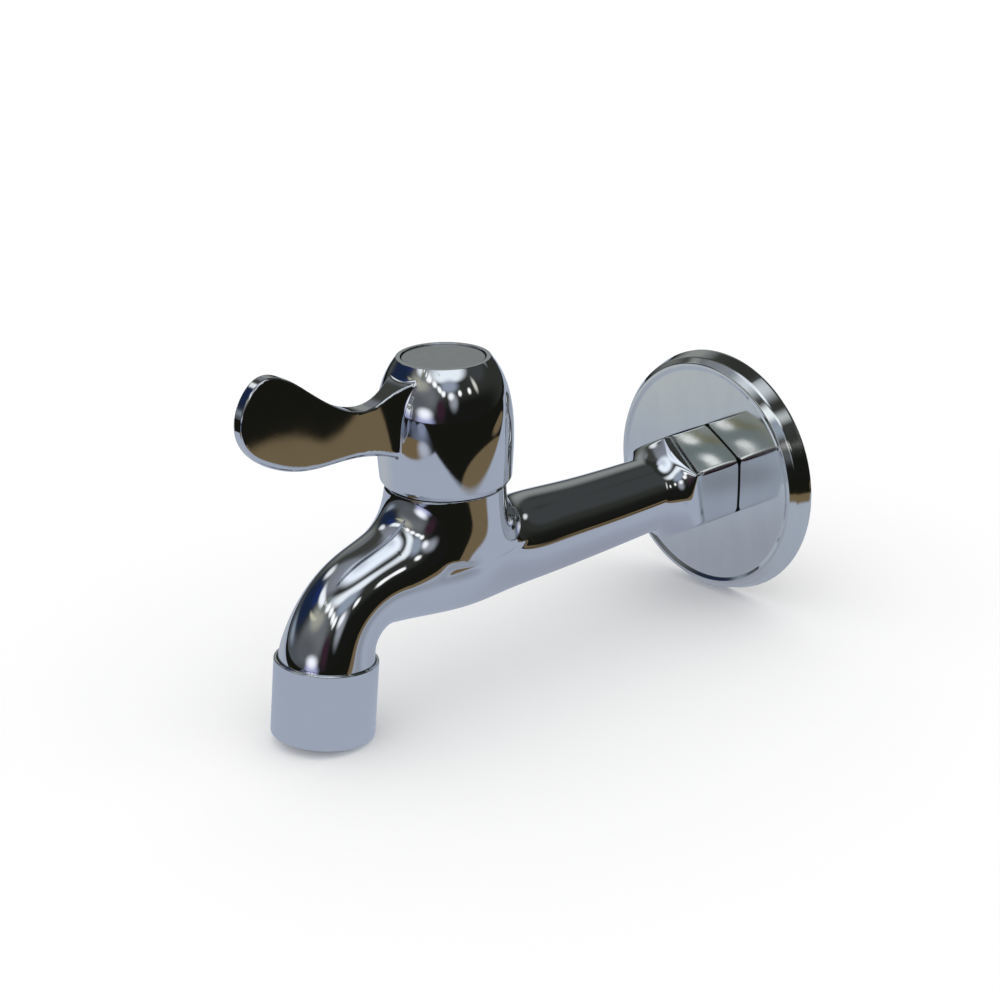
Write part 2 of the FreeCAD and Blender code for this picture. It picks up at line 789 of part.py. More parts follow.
def handle():
    skirt_bore_r = skirt_edge_r - handle_wall
    belly_bore_r = dome_belly_r - handle_wall
    shoulder_bore_r = dome_shoulder_r - handle_wall
    hollow = about_z([
        (0, skirt_z - over), (skirt_bore_r, skirt_z - over), (skirt_bore_r, skirt_z),
        (belly_bore_r, handle_hollow_waist_z), (belly_bore_r, dome_belly_z),
        (shoulder_bore_r, dome_shoulder_z - handle_hollow_drop),
        (shoulder_bore_r - handle_hollow_corner, web_z), (0, web_z),
    ])
    hub = ring(bush_r, handle_hub_r, hub_z, web_z + sink)
    solid = dome().fuse(lever()).cut(hollow).fuse(hub)
    solid = solid.cut(disc(screw_thread_d / 2 + free_gap / 2, web_z - over, well_z + over))
    solid = solid.cut(disc(cap_stem_r + seat_gap, well_z, handle_top_z + over))
    return solid.cut(disc(cap_r + cap_side_gap, cap_z, handle_top_z + over))


def spline_bush():
    """The plastic bush between the spindle's teeth and the handle's hub."""
    outer = disc(bush_r, hub_z, web_z)
    return outer.cut(disc(spline_d / 2 + running_gap, hub_z - over, web_z + over))


def handle_cap():
    plate = disc(cap_r, cap_z, cap_z + cap_thickness)
    stem = ring(cap_stem_r - cap_stem_wall, cap_stem_r, cap_z - cap_stem_length, cap_z + sink)
    return plate.fuse(stem)


def handle_screw():
    head = disc(screw_head_r, well_z, well_z + screw_head_height)
    head = head.makeFillet(screw_head_round, [head.Edges[0]])
    shank = disc(screw_thread_d / 2 - seat_gap, well_z - screw_length, well_z)
    screw = head.fuse(shank)
    slot_half = screw_head_r - screw_slot_rim
    for angle in (0, 90):
        slot_corner = vec(-slot_half, -screw_slot / 2, well_z + screw_slot_floor)
        slot = Part.makeBox(2 * slot_half, screw_slot, screw_head_height, slot_corner)
        slot.rotate(vec(0, 0, 0), along_z, angle)
        screw = screw.cut(slot)
    return screw


os.makedirs("parts", exist_ok=True)
save("body", body())
save("wall_flange", wall_flange())
save("aerator_collar", at_outlet(aerator_collar()))
save("aerator_washer", at_outlet(aerator_washer()))
save("aerator_strainer", at_outlet(strainer()))
save("aerator_core", at_outlet(aerator_core()))
save("aerator_fine_screens", at_outlet(fine_screens()))
save("aerator_flow_grid", at_outlet(flow_grid()))
save("headwork_body", at_valve(headwork_body()))
save("headwork_gasket", at_valve(headwork_gasket()))
save("seat_seal", at_valve(seat_seal()))
save("fixed_disc", at_valve(fixed_disc()))
save("moving_disc", at_valve(moving_disc()))
save("spindle", at_valve(spindle()))
save("spindle_o_rings", at_valve(spindle_o_rings()))
save("friction_washer", at_valve(friction_washer()))
save("retaining_clip", at_valve(retaining_clip()))
save("spline_bush", at_valve(spline_bush()))
save("handle", at_valve(handle()))
save("handle_screw", at_valve(handle_screw()))
save("handle_cap", at_valve(handle_cap()))
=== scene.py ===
# Wall-mounted bib tap with a quarter-turn lever: its looks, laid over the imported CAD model.
# Shapes are worked out in millimetres in the CAD model's frame and go to metres in addMesh.
import math
import bpy
import numpy as np
from mathutils import Matrix


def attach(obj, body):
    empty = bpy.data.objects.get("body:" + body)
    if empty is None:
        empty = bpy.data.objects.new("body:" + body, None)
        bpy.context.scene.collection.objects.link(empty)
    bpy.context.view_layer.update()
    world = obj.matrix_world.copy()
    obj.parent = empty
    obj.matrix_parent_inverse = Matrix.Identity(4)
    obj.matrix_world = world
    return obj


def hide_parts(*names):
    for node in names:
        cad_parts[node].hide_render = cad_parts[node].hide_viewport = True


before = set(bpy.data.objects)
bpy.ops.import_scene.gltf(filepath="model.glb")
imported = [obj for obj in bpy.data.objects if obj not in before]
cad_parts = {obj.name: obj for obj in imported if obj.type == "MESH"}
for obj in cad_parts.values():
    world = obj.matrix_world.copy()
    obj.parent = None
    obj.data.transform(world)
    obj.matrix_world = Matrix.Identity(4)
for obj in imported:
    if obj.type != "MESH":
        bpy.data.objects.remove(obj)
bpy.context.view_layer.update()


# A natural cubic through keys: second derivatives from one tridiagonal system, a cubic on each span.
def smoothCurve(at, values):
    at = np.asarray(at, float)
    values = np.asarray(values, float).reshape(len(at), -1)
    gap = np.diff(at)
    rows = np.arange(1, len(at) - 1)
    system = np.eye(len(at))
    system[rows, rows - 1] = gap[:-1]
    system[rows, rows] = 2 * (gap[:-1] + gap[1:])
    system[rows, rows + 1] = gap[1:]
    slope = np.diff(values, axis=0) / gap[:, None]
    load = np.zeros_like(values)
    load[1:-1] = 6 * np.diff(slope, axis=0)
    bend = np.linalg.solve(system, load)

    def curve(x):
        x = np.clip(x, at[0], at[-1])
        k = np.clip(np.searchsorted(at, x) - 1, 0, len(gap) - 1)
        b = ((x - at[k]) / gap[k])[..., None]
        a = 1 - b
        cubic = ((a ** 3 - a) * bend[k] + (b ** 3 - b) * bend[k + 1]) * gap[k][..., None] ** 2 / 6
        return a * values[k] + b * values[k + 1] + cubic
    return curve


# A ramp from 0 at low to 1 at high: 3 t squared less 2 t cubed, level at both ends.
def smoothStep(low, high, x):
    t = np.clip((x - low) / (high - low), 0, 1)
    return t * t * (3 - 2 * t)


# Outward direction of a field: central differences along x, y and z, made one long.
def fieldSlope(field, points, h=0.02):
    slope = np.empty_like(points)
    for axis in range(3):
        shift = np.zeros(3)
        shift[axis] = h
        slope[:, axis] = (field(points + shift) - field(points - shift)) / (2 * h)
    return slope


# Surface net of field = 0 in a box of cubic cells: one point in each cell that the surface crosses,
# at the mean of its edge crossings, then slid down the field's slope onto the surface itself.
# drop(centres) leaves cells out; ends gives (axis, side) pairs where the surface runs out of the kept
# cells, and its last ring is laid flat there.
def fieldNet(field, low, high, step, ends, drop=None):
    low = np.asarray(low, float)
    counts = np.rint((np.asarray(high, float) - low) / step).astype(int)
    axes = [low[k] + step * np.arange(counts[k] + 1) for k in range(3)]
    grid = np.stack(np.meshgrid(*axes, indexing="ij"), -1)
    values = field(grid.reshape(-1, 3)).reshape(grid.shape[:3])
    inside = values < 0
    kept = np.ones(tuple(counts), bool)
    if drop is not None:
        kept = ~drop((grid[:-1, :-1, :-1] + step / 2).reshape(-1, 3)).reshape(tuple(counts))
    total = np.zeros(tuple(counts) + (3,))
    hits = np.zeros(tuple(counts))
    for corner in [(a, b, c) for a in (0, 1) for b in (0, 1) for c in (0, 1)]:
        for axis in [k for k in range(3) if corner[k] == 0]:
            one = tuple(slice(corner[k], corner[k] + counts[k]) for k in range(3))
            two = tuple(slice(corner[k] + (k == axis), corner[k] + (k == axis) + counts[k]) for k in range(3))
            crossed = inside[one] != inside[two]
            fall = np.where(crossed, values[one] - values[two], 1)
            total[..., axis] += np.where(crossed, values[one] / fall, 0)
            total[..., [k for k in range(3) if corner[k]]] += crossed[..., None]
            hits += crossed
    active = (hits > 0) & kept
    index = np.full(tuple(counts), -1)
    index[active] = np.arange(active.sum())
    cells = np.argwhere(active)
    points = low + step * (cells + total[active] / hits[active][:, None])
    quads = []
    for axis in range(3):
        u, v = (axis + 1) % 3, (axis + 2) % 3
        first, second = [slice(None)] * 3, [slice(None)] * 3
        first[axis], second[axis] = slice(0, -1), slice(1, None)
        change = inside[tuple(first)].astype(int) - inside[tuple(second)]
        spots = np.argwhere(change != 0)
        within = (spots[:, u] > 0) & (spots[:, v] > 0) & (spots[:, u] < counts[u]) & (spots[:, v] < counts[v])
        spots = spots[within]
        corners = []
        for du, dv in ((1, 1), (0, 1), (0, 0), (1, 0)):
            cell = spots.copy()
            cell[:, u] -= du
            cell[:, v] -= dv
            corners.append(index[tuple(cell.T)])
        quad = np.stack(corners, 1)
        quad = np.where(change[tuple(spots.T)][:, None] > 0, quad, quad[:, ::-1])
        quads.append(quad[(quad >= 0).all(1)])
    free = np.ones_like(points)
    rings = []
    for axis, side in ends:
        beyond = np.zeros_like(kept)
        parts = [slice(0, -1), slice(1, None)][::side]
        here, there = ([slice(None)] * axis + [part] + [slice(None)] * (2 - axis) for part in parts)
        beyond[tuple(here)] = kept[tuple(there)]
        edge = ~beyond[active]
        points[edge, axis] = low[axis] + step * (cells[edge, axis] + (side > 0))
        free[edge, axis] = 0
        rings.append(np.flatnonzero(edge))
    for _ in range(4):
        slope = fieldSlope(field, points) * free
        points -= slope * (field(points) / np.maximum((slope ** 2).sum(1), 0.05))[:, None]
    slope = fieldSlope(field, points)
    return points, slope / np.linalg.norm(slope, axis=1)[:, None], np.concatenate(quads), rings


# An outline's corners rounded: each (r, t, radius) corner becomes an arc tangent to its two sides.
# Returns points (r, t) and their outward normals; outward is to the right of the way the outline runs.
def roundedProfile(corners, closed=False):
    corners = np.asarray(corners, float)
    place = corners[:, :2]
    spots, outs = [], []
    count = len(corners)
    for k in range(count):
        here = place[k]
        back = place[k - 1] - here if (k > 0 or closed) else None
        ahead = place[(k + 1) % count] - here if (k < count - 1 or closed) else None
        if back is None or ahead is None:
            way = ahead if back is None else -back
            way = way / np.linalg.norm(way)
            spots.append(here[None])
            outs.append(np.array([[way[1], -way[0]]]))
            continue
        one, two = back / np.linalg.norm(back), ahead / np.linalg.norm(ahead)
        turn = math.acos(np.clip(one @ two, -1, 1))
        radius = max(corners[k, 2], 1e-4)
        reach = radius / math.tan(turn / 2)
        centre = here + (one + two) / np.linalg.norm(one + two) * radius / math.sin(turn / 2)
        start, stop = here + one * reach, here + two * reach
        a, b = start - centre, stop - centre
        sweep = math.pi - turn
        steps = max(2, int(sweep / 0.26) + 1)
        share = np.linspace(0, 1, steps + 1)[:, None]
        arc = (np.sin((1 - share) * sweep) * a + np.sin(share * sweep) * b) / math.sin(sweep)
        convex = one[0] * two[1] - one[1] * two[0] < 0
        spots.append(centre + arc)
        outs.append(arc / radius * (1 if convex else -1))
    return np.concatenate(spots), np.concatenate(outs)


# Rings about the Z axis from a profile (r, t): the point at angle a is (r cos a, r sin a, t).
def turnedRings(profile, normals, around):
    angle = np.linspace(0, 2 * math.pi, around, endpoint=False)
    circle = np.stack([np.cos(angle), np.sin(angle)], -1)
    points = np.concatenate([profile[:, None, :1] * circle, np.repeat(profile[:, None, 1:], around, 1)], -1)
    outs = np.concatenate([normals[:, None, :1] * circle, np.repeat(normals[:, None, 1:], around, 1)], -1)
    return points, outs


# Faces of a grid of rings, wrapped round; closed also joins the last ring to the first.
def ringFaces(rows, around, start=0, closed=False):
    i, j = np.meshgrid(np.arange(rows if closed else rows - 1), np.arange(around), indexing="ij")
    i, j = i.ravel(), j.ravel()
    up, on = (i + 1) % rows, (j + 1) % around
    return start + np.stack([i * around + j, i * around + on, up * around + on, up * around + j], 1)


# Triangles between two rings of different counts, both sorted by angle: every point of one ring makes
# a triangle with its neighbour and the point of the other ring that comes just before it.
def bridgeFaces(ringA, angleA, ringB, angleB):
    a, b = np.argsort(angleA), np.argsort(angleB)
    ringA, angleA, ringB, angleB = ringA[a], angleA[a], ringB[b], angleB[b]
    besideA = ringB[(np.searchsorted(angleB, angleA) - 1) % len(ringB)]
    besideB = ringA[(np.searchsorted(angleA, angleB, side="right") - 1) % len(ringA)]
    fromA = np.stack([np.roll(ringA, 1), ringA, besideA], 1)
    fromB = np.stack([ringB, np.roll(ringB, 1), besideB], 1)
    return np.concatenate([fromA, fromB])


# Triangles that close a ring onto the point where the rows end.
def fanFaces(ring, centre, ending=True):
    on = np.roll(ring, -1)
    tip = np.full(len(ring), centre)
    return np.stack([ring, on, tip] if ending else [on, ring, tip], 1)


# A mesh object from points in mm, outward normals and faces of three or four corners.
def addMesh(name, points, normals, quads, triangles=None):
    mesh = bpy.data.meshes.new(name)
    triangles = np.zeros((0, 3), int) if triangles is None else triangles
    corners = np.concatenate([quads.ravel(), triangles.ravel()]).astype(np.int32)
    starts = np.concatenate([np.arange(len(quads)) * 4, len(quads) * 4 + np.arange(len(triangles)) * 3])
    mesh.vertices.add(len(points))
    mesh.loops.add(len(corners))
    mesh.polygons.add(len(starts))
    mesh.vertices.foreach_set("co", (points * 0.001).astype(np.float32).ravel())
    mesh.loops.foreach_set("vertex_index", corners)
    mesh.polygons.foreach_set("loop_start", starts.astype(np.int32))
    mesh.update(calc_edges=True)
    mesh.validate()
    mesh.polygons.foreach_set("use_smooth", np.ones(len(mesh.polygons), bool))
    mesh.normals_split_custom_set_from_vertices(normals.astype(np.float32))
    mesh.update()
    piece = bpy.data.objects.new(name, mesh)
    bpy.context.scene.collection.objects.link(piece)
    print(name, len(points), "points", len(mesh.polygons), "faces")
    return piece


# The body casting, in mm: tube, belly, spout, boss, hexagon, wall thread and waterways. The keys along the
# tube and the bend are (way along, radius, rise of the section's centre); the bend's ways are shares of its
# length. inletRows are spans of rings (from, to, count), close together where the flare meets the hexagon.
casting = {
    "valveY": -101.6, "axisZ": 2.06, "bendY": -123.3, "bendRadius": 18.0, "spoutTilt": 6.2,
    "tubeKeys": [(32.1, 10.3, -2.06), (59.6, 11.2, -2.06), (73.6, 11.75, -1.71), (86.6, 12.6, -0.96),
                 (101.6, 15.6, 2.04), (112.6, 13.9, 1.3), (123.3, 11.5, 0)],
    "bendKeys": [(0.4, 10.85, -0.4), (0.75, 11.3, -0.4)], "endRadius": 12.3, "shoulder": 1.0,
    "bossRadius": 15.3, "bossTop": 22.5, "tubeBlend": 12.0, "spoutBlend": 18.0,
    "bossFoot": [(5.6, 1.2), (8.3, 0.12)],  # where the boss starts to pull in, and how fast: sides, front
    "wayRadius": 6.5, "wayEnd": -83.2, "channelHalf": 5.5, "channelLow": -8.7, "channelTop": -3.0,
    "seatHole": 5.2, "seatZ": -1.0, "chamber": 9.9, "tapping": 10.4775, "tappingZ": 12.5,
    "spoutWay": [(108.5, 6.0, 4.14), (123.3, 7.6, 0), (136.5, 7.6, 0), (150.6, 9.1, 0)],
    "joinY": -34.0, "joinZ": 22.0, "step": 0.62, "netLow": (-18.6, -156.14, -18.3), "netHigh": 18.6,
    "tubeSplit": 8.5, "bossSplit": 13.0,  # radii between the outer and the inner ring where the net ends
    "flats": 27.0, "turned": 15.1, "hexFront": -23.1, "hexBack": -5.9, "flareLength": 9.0,
    "cornerRound": 0.45, "crown": 0.2, "creaseRound": 0.8, "seamRound": 0.15, "backChamfer": 0.5,
    "inletRows": [(-33.7, -26.0, 24), (-25.85, -19.0, 46), (-18.6, -8.6, 14), (-8.4, -5.9, 20)],
    "cornerCrowd": 1.8, "seatRadius": 12.9, "reliefEnd": -2.6, "threadStart": -2.0, "threadRows": 92,
    "threadRadius": 10.4775, "threadPitch": 1.814, "threadDepth": 1.162, "threadEnd": 13.0,
    "relief": 9.3, "mouth": 7.5, "mouthDepth": 12.0, "bossTurns": 160,
}
bendAngle = math.radians(90 - casting["spoutTilt"])
bendLength = bendAngle * casting["bendRadius"]
bendStart = -casting["bendY"]
bendZ = casting["axisZ"] - casting["bendRadius"]
outletAxis = np.array([0, -math.cos(bendAngle), -math.sin(bendAngle)])
outletUp = np.array([0, -math.sin(bendAngle), math.cos(bendAngle)])
outletPoint = np.array([0, casting["bendY"], bendZ]) + outletUp * casting["bendRadius"]
rowKeys = (casting["tubeKeys"]
           + [(bendStart + share * bendLength, r, rise) for share, r, rise in casting["bendKeys"]]
           + [(bendStart + bendLength + casting["shoulder"], casting["endRadius"], 0)])
rowCurve = smoothCurve([key[0] for key in rowKeys], [key[1:] for key in rowKeys])
wayCurve = smoothCurve([key[0] for key in casting["spoutWay"]], [key[1:] for key in casting["spoutWay"]])


# A point's distance along the spout's centre line (level, round the bend, then straight on) and its height
# above that line.
def alongSpout(p):
    x, y, z = p.T
    turn = np.arctan2(casting["bendY"] - y, z - bendZ)
    bent = y < casting["bendY"]
    past = bent & (turn > bendAngle)
    along = (p - outletPoint) @ outletAxis
    distance = np.where(bent, bendStart + turn * casting["bendRadius"], -y)
    height = np.where(bent, np.hypot(y - casting["bendY"], z - bendZ) - casting["bendRadius"],
                      z - casting["axisZ"])
    distance = np.where(past, bendStart + bendLength + along, distance)
    height = np.where(past, (p - outletPoint) @ outletUp, height)
    return distance, height


# How far a point is from the centre of the round section beside it, less that section's radius.
def rowField(p, curve=rowCurve):
    distance, height = alongSpout(p)
    section = curve(distance)
    side = np.hypot(p[:, 0], height - section[:, 1]) - section[:, 0]
    return np.maximum(side, distance - bendStart - bendLength - casting["shoulder"])


# The waterways: inlet bore with a round end, channel under the seat, seat hole, valve chamber with its
# tapping, and the row that leads round the bend to the mouth.
def waterField(p):
    x, y, z = p.T
    reach = np.hypot(x, y - casting["valveY"])
    half, low, top = casting["channelHalf"], casting["channelLow"], casting["channelTop"]
    inlet = np.sqrt(x * x + z * z + np.minimum(y - casting["wayEnd"], 0) ** 2) - casting["wayRadius"]
    level = np.maximum(low - z, z - top)
    ends = np.maximum(casting["valveY"] - y, y - casting["wayEnd"])
    channel = np.maximum(np.maximum(np.abs(x) - half, level), ends)
    well = np.maximum(reach - half, level)
    seat = np.maximum(reach - casting["seatHole"], np.maximum(top - 1 - z, z - casting["seatZ"] - 1))
    chamber = np.maximum(reach - casting["chamber"], casting["seatZ"] - z)
    tapping = np.maximum(reach - casting["tapping"], casting["tappingZ"] - z)
    distance, height = alongSpout(p)
    section = wayCurve(distance)
    spout = np.hypot(x, height - section[:, 1]) - section[:, 0]
    spout = np.maximum(spout, casting["spoutWay"][0][0] - distance)
    return np.minimum.reduce([inlet, channel, well, seat, chamber, tapping, spout])


# Union of the row and the boss with a soft fillet: where the two distances differ by less than k, the
# lesser drops by k/6 of the cube of how alike they are. k is larger towards the spout and shrinks with the
# sine of the angle between the surfaces, so tangent sides stay as they are. The waterways are taken out.
def castingField(p):
    x, y, z = p.T
    row = rowField(p)
    reach = np.hypot(x, y - casting["valveY"])
    front = smoothStep(0, 14, casting["valveY"] - y)
    (sideFoot, sideFade), (frontFoot, frontFade) = casting["bossFoot"]
    foot = np.maximum(0, sideFoot + (frontFoot - sideFoot) * front - z)
    boss = reach - casting["bossRadius"] + (sideFade + (frontFade - sideFade) * front) * foot ** 2
    field = np.minimum(row, boss)
    near = np.flatnonzero((np.abs(row - boss) < casting["spoutBlend"]) & (field > -2) & (field < 4) & (z > 0))
    q = p[near]
    rowOut = fieldSlope(rowField, q, 0.01)
    rowOut /= np.linalg.norm(rowOut, axis=1)[:, None]
    bossOut = np.stack([q[:, 0], q[:, 1] - casting["valveY"]], -1) / np.maximum(reach[near], 1e-6)[:, None]
    c = np.clip((rowOut[:, :2] * bossOut).sum(1), -0.999, 0.999)
    k = casting["tubeBlend"] + (casting["spoutBlend"] - casting["tubeBlend"]) * front[near]
    k *= np.sqrt(1 - c * c)
    alike = np.clip(1 - np.abs(row[near] - boss[near]) / k, 0, 1)
    field[near] -= k * alike ** 3 / 6
    return np.maximum(field, -waterField(p))


# Hexagon with rounded corners as a radius at each angle: flats at half the width over cos of the angle
# from their middle, lowered towards their edges by the square of that way, and near each corner the far
# side of a small circle set in it.
def hexRadius(angle):
    half, rounding = casting["flats"] / 2, casting["cornerRound"]
    fromCorner = np.abs((angle + math.pi / 6) % (math.pi / 3) - math.pi / 6)
    centre = (half - rounding) / math.cos(math.pi / 6)
    touch = math.pi / 6 - math.atan2((half - rounding) * math.tan(math.pi / 6), half)
    drop = np.maximum(rounding ** 2 - (centre * np.sin(fromCorner)) ** 2, 0)
    lowered = casting["crown"] * np.minimum((math.pi / 6 - fromCorner) / (math.pi / 6 - touch), 1) ** 2
    return np.where(fromCorner < touch, centre * np.cos(fromCorner) + np.sqrt(drop),
                    half / np.cos(math.pi / 6 - fromCorner)) - lowered


# The smaller of two radii, rounded where they cross.
def softLeast(a, b, k):
    h = np.clip(0.5 + 0.5 * (b - a) / k, 0, 1)
    return b + (a - b) * h - k * h * (1 - h)


# Inlet end at a distance y and an angle: the tube's radius plus a flare that grows with the square of the way
# to the hexagon, kept inside the hexagon and the turned bar it was milled from.
def inletEnd(y, angle):
    section = rowCurve(-y)
    tubeStart = casting["tubeKeys"][0]
    slope = (rowCurve(np.array([tubeStart[0] + 0.5]))[0, 0] - tubeStart[1]) / 0.5
    root = section[..., 0] + slope * np.minimum(0, -y - tubeStart[0])
    share = np.clip((y - casting["hexFront"] + casting["flareLength"]) / casting["flareLength"], 0, 1.2)
    flare = root + (casting["turned"] + 0.35 - tubeStart[1]) * share ** 2
    bar = np.minimum(casting["turned"], casting["turned"] + casting["hexBack"] - casting["backChamfer"] - y)
    middle = (casting["hexFront"] + casting["hexBack"]) / 2
    half = (casting["hexBack"] - casting["hexFront"]) / 2
    hexagon = hexRadius(angle) - casting["crown"] * ((y - middle) / half) ** 2
    radius = softLeast(softLeast(flare, hexagon, casting["creaseRound"]), bar, casting["seamRound"])
    lift = section[..., 1] + casting["axisZ"]
    return np.stack([radius * np.sin(angle), y + 0 * angle, lift + radius * np.cos(angle)], -1)


# A screw thread as a radius: a clipped triangle wave of the pitch that winds once round per turn. Its flats
# at crest and root come from stretching the wave by a quarter before it is clipped.
def threadRadius(along, angle, radius, pitch, depth):
    phase = (along / pitch - angle / (2 * math.pi)) % 1
    return radius - depth * np.clip(np.abs(phase * 2 - 1) * 1.25 - 0.125, 0, 1)


# The G 1/2 thread about the inlet axis: the screw's radius, brought down at 45 degrees to the relief at both
# its ends.
def wallThread(y, angle):
    radius = threadRadius(y, angle, casting["threadRadius"], casting["threadPitch"], casting["threadDepth"])
    fromEnd = np.minimum(y - casting["threadStart"], casting["threadEnd"] - y)
    radius = np.minimum(radius, fromEnd + casting["relief"] + 0.15)
    return np.stack([radius * np.sin(angle), y + 0 * angle, radius * np.cos(angle)], -1)


# Normals of a surface given by its function: the cross product of its two slopes.
def surfaceNormals(shape, u, v, h=1e-3):
    alongU = shape(u + h, v) - shape(u - h, v)
    alongV = shape(u, v + h) - shape(u, v - h)
    out = np.cross(alongV, alongU)
    return out / np.maximum(np.linalg.norm(out, axis=-1), 1e-12)[..., None]


# The casting is a net of its field for tube, boss and spout, then a column of rings about the inlet axis for
# the hexagon, seat, thread and bore, and a turned shell for the boss's top, bridged to the net's two ends.
def buildBody():
    c = casting
    net, netOut, quads, (tubeRing, bossRing) = fieldNet(
        castingField, c["netLow"], (c["netHigh"], c["joinY"], c["joinZ"]), c["step"], [(1, 1), (2, 1)])
    # angles crowd towards the corners of the hexagon
    share = np.arange(28) / 28
    spread = np.where(share < 0.5, 0.5 * (2 * share) ** c["cornerCrowd"],
                      1 - 0.5 * (2 - 2 * share) ** c["cornerCrowd"])
    angle = ((np.arange(6)[:, None] + spread) * math.pi / 3).ravel()
    around = len(angle)
    lengths = np.concatenate([np.linspace(*row) for row in c["inletRows"]])
    u, v = np.meshgrid(lengths, angle, indexing="ij")
    outer, outerOut = inletEnd(u, v), surfaceNormals(inletEnd, u, v)
    turns = np.linspace(c["threadStart"] + 0.05, c["threadEnd"] - 0.05, c["threadRows"])
    u, v = np.meshgrid(turns, angle, indexing="ij")
    thread, threadOut = wallThread(u, v), surfaceNormals(wallThread, u, v, 2e-3)
    relief, threadEnd, mouth, way = c["relief"], c["threadEnd"], c["mouth"], c["wayRadius"]
    mouthEnd = threadEnd - c["mouthDepth"]
    seat, seatOut = roundedProfile([
        (c["seatRadius"], c["hexBack"], 0.1), (relief, c["hexBack"], 0.25), (relief, c["reliefEnd"], 0.1),
        (relief + 0.15, c["threadStart"], 0.1)])
    bore, boreOut = roundedProfile([
        (relief + 0.15, threadEnd, 0.1), (mouth, threadEnd, 0.35), (mouth, mouthEnd, 0.1),
        (way, mouthEnd, 0.3), (way, lengths[0], 0.1)])
    circle = np.stack([np.sin(angle), np.zeros(around), np.cos(angle)], -1)
    lengthwise = np.array([0, 1.0, 0])
    rings = [circle * part[:, None, :1] + lengthwise * part[:, None, 1:]
             for part in (seat, seatOut, bore, boreOut)]
    column = np.concatenate([outer, rings[0], thread, rings[2]])
    columnOut = np.concatenate([outerOut, rings[1], threadOut, rings[3]])
    # boss top, inside which the headwork is screwed, about the valve axis
    boss, bossOut = roundedProfile([
        (c["bossRadius"], c["joinZ"] + 0.15, 0.1), (c["bossRadius"], c["bossTop"], 0.25),
        (c["tapping"], c["bossTop"], 0.3), (c["tapping"], c["joinZ"] + 0.1, 0.1)])
    turns = c["bossTurns"]
    shell, shellOut = turnedRings(boss, bossOut, turns)
    shell = shell + np.array([0, c["valveY"], 0])
    shellAngle = np.linspace(0, 2 * math.pi, turns, endpoint=False)
    columnStart = len(net)
    columnLast = columnStart + (len(column) - 1) * around
    shellStart = columnStart + len(column) * around
    shellLast = shellStart + (len(boss) - 1) * turns
    # the net ends in an outer and an inner ring at each plane
    tubeAngle = np.arctan2(net[:, 0], net[:, 2]) % (2 * math.pi)
    bossAngle = np.arctan2(net[:, 1] - c["valveY"], net[:, 0]) % (2 * math.pi)
    bridges = []
    for ring, netAngle, far, split, first, last, ringAngle in (
            (tubeRing, tubeAngle, np.hypot(net[:, 0], net[:, 2]), c["tubeSplit"],
             columnStart, columnLast, angle),
            (bossRing, bossAngle, np.hypot(net[:, 0], net[:, 1] - c["valveY"]), c["bossSplit"],
             shellStart, shellLast, shellAngle)):
        out, within = ring[far[ring] > split], ring[far[ring] <= split]
        count = np.arange(len(ringAngle))
        bridges.append(bridgeFaces(out, netAngle[out], first + count, ringAngle))
        bridges.append(bridgeFaces(last + count, ringAngle, within, netAngle[within]))
    points = np.concatenate([net, column.reshape(-1, 3), shell.reshape(-1, 3)])
    normals = np.concatenate([netOut, columnOut.reshape(-1, 3), shellOut.reshape(-1, 3)])
    faces = np.concatenate([quads, ringFaces(len(column), around, columnStart),
                            ringFaces(len(boss), turns, shellStart)])
    return addMesh("body_casting", points, normals, faces, np.concatenate(bridges))


# The threaded end of the spout, turned about the outlet's axis, in mm from the outlet.
outletThread = {"radius": 12.0, "root": 11.45, "pitch": 1.0, "depth": 0.55, "start": 0.8, "end": 9.5,
                "lead": 1.0, "bore": 9.6, "rows": 110, "turns": 144}
# The plain collar that screws over it, with the seat and the mouth for the aerator.
collar = {"radius": 13.1, "height": 19.7, "edge": 0.35, "rim": 12.35, "bore": 12.05, "step": 1.02,
          "coreSeat": 12.72, "coreBore": 11.1, "mouth": 9.9, "mouthZ": 18.1, "turns": 224}


# Turned points carried to the outlet's axes: x across, y sideways, z out along the spout.
def fromOutlet(points):
    across = np.array([1.0, 0, 0])
    return (points[..., :1] * across + points[..., 1:2] * np.cross(outletAxis, across)
            + points[..., 2:] * outletAxis)


# The outlet's thread, a radius as the wall thread's, brought down to its root at both ends.
def spoutThread(along, angle):
    t = outletThread
    radius = threadRadius(along, angle, t["radius"], t["pitch"], t["depth"])
    radius = np.minimum(radius, np.minimum(along - t["lead"], t["end"] - along) + t["root"])
    return np.stack([radius * np.cos(angle), radius * np.sin(angle), along + 0 * angle], -1)


def buildSpoutEnd():
    t = outletThread
    angle = np.linspace(0, 2 * math.pi, t["turns"], endpoint=False)
    lengths = np.linspace(t["lead"] + 0.05, t["end"] - 0.05, t["rows"])
    u, v = np.meshgrid(lengths, angle, indexing="ij")
    thread, threadOut = spoutThread(u, v), surfaceNormals(spoutThread, u, v, 2e-3)
    root = t["root"] - 0.05
    inner, innerOut = roundedProfile([
        (root, t["end"], 0.1), (t["bore"], t["end"], 0.3), (t["bore"], t["start"], 0.1),
        (root, t["start"], 0.1), (t["root"], t["lead"], 0.1)])
    rings, outs = turnedRings(inner, innerOut, len(angle))
    points = np.concatenate([thread, rings])
    normals = np.concatenate([threadOut, outs])
    faces = ringFaces(len(points), len(angle), closed=True)
    return addMesh("spout_thread", fromOutlet(points).reshape(-1, 3) + outletPoint,
                   fromOutlet(normals).reshape(-1, 3), faces)


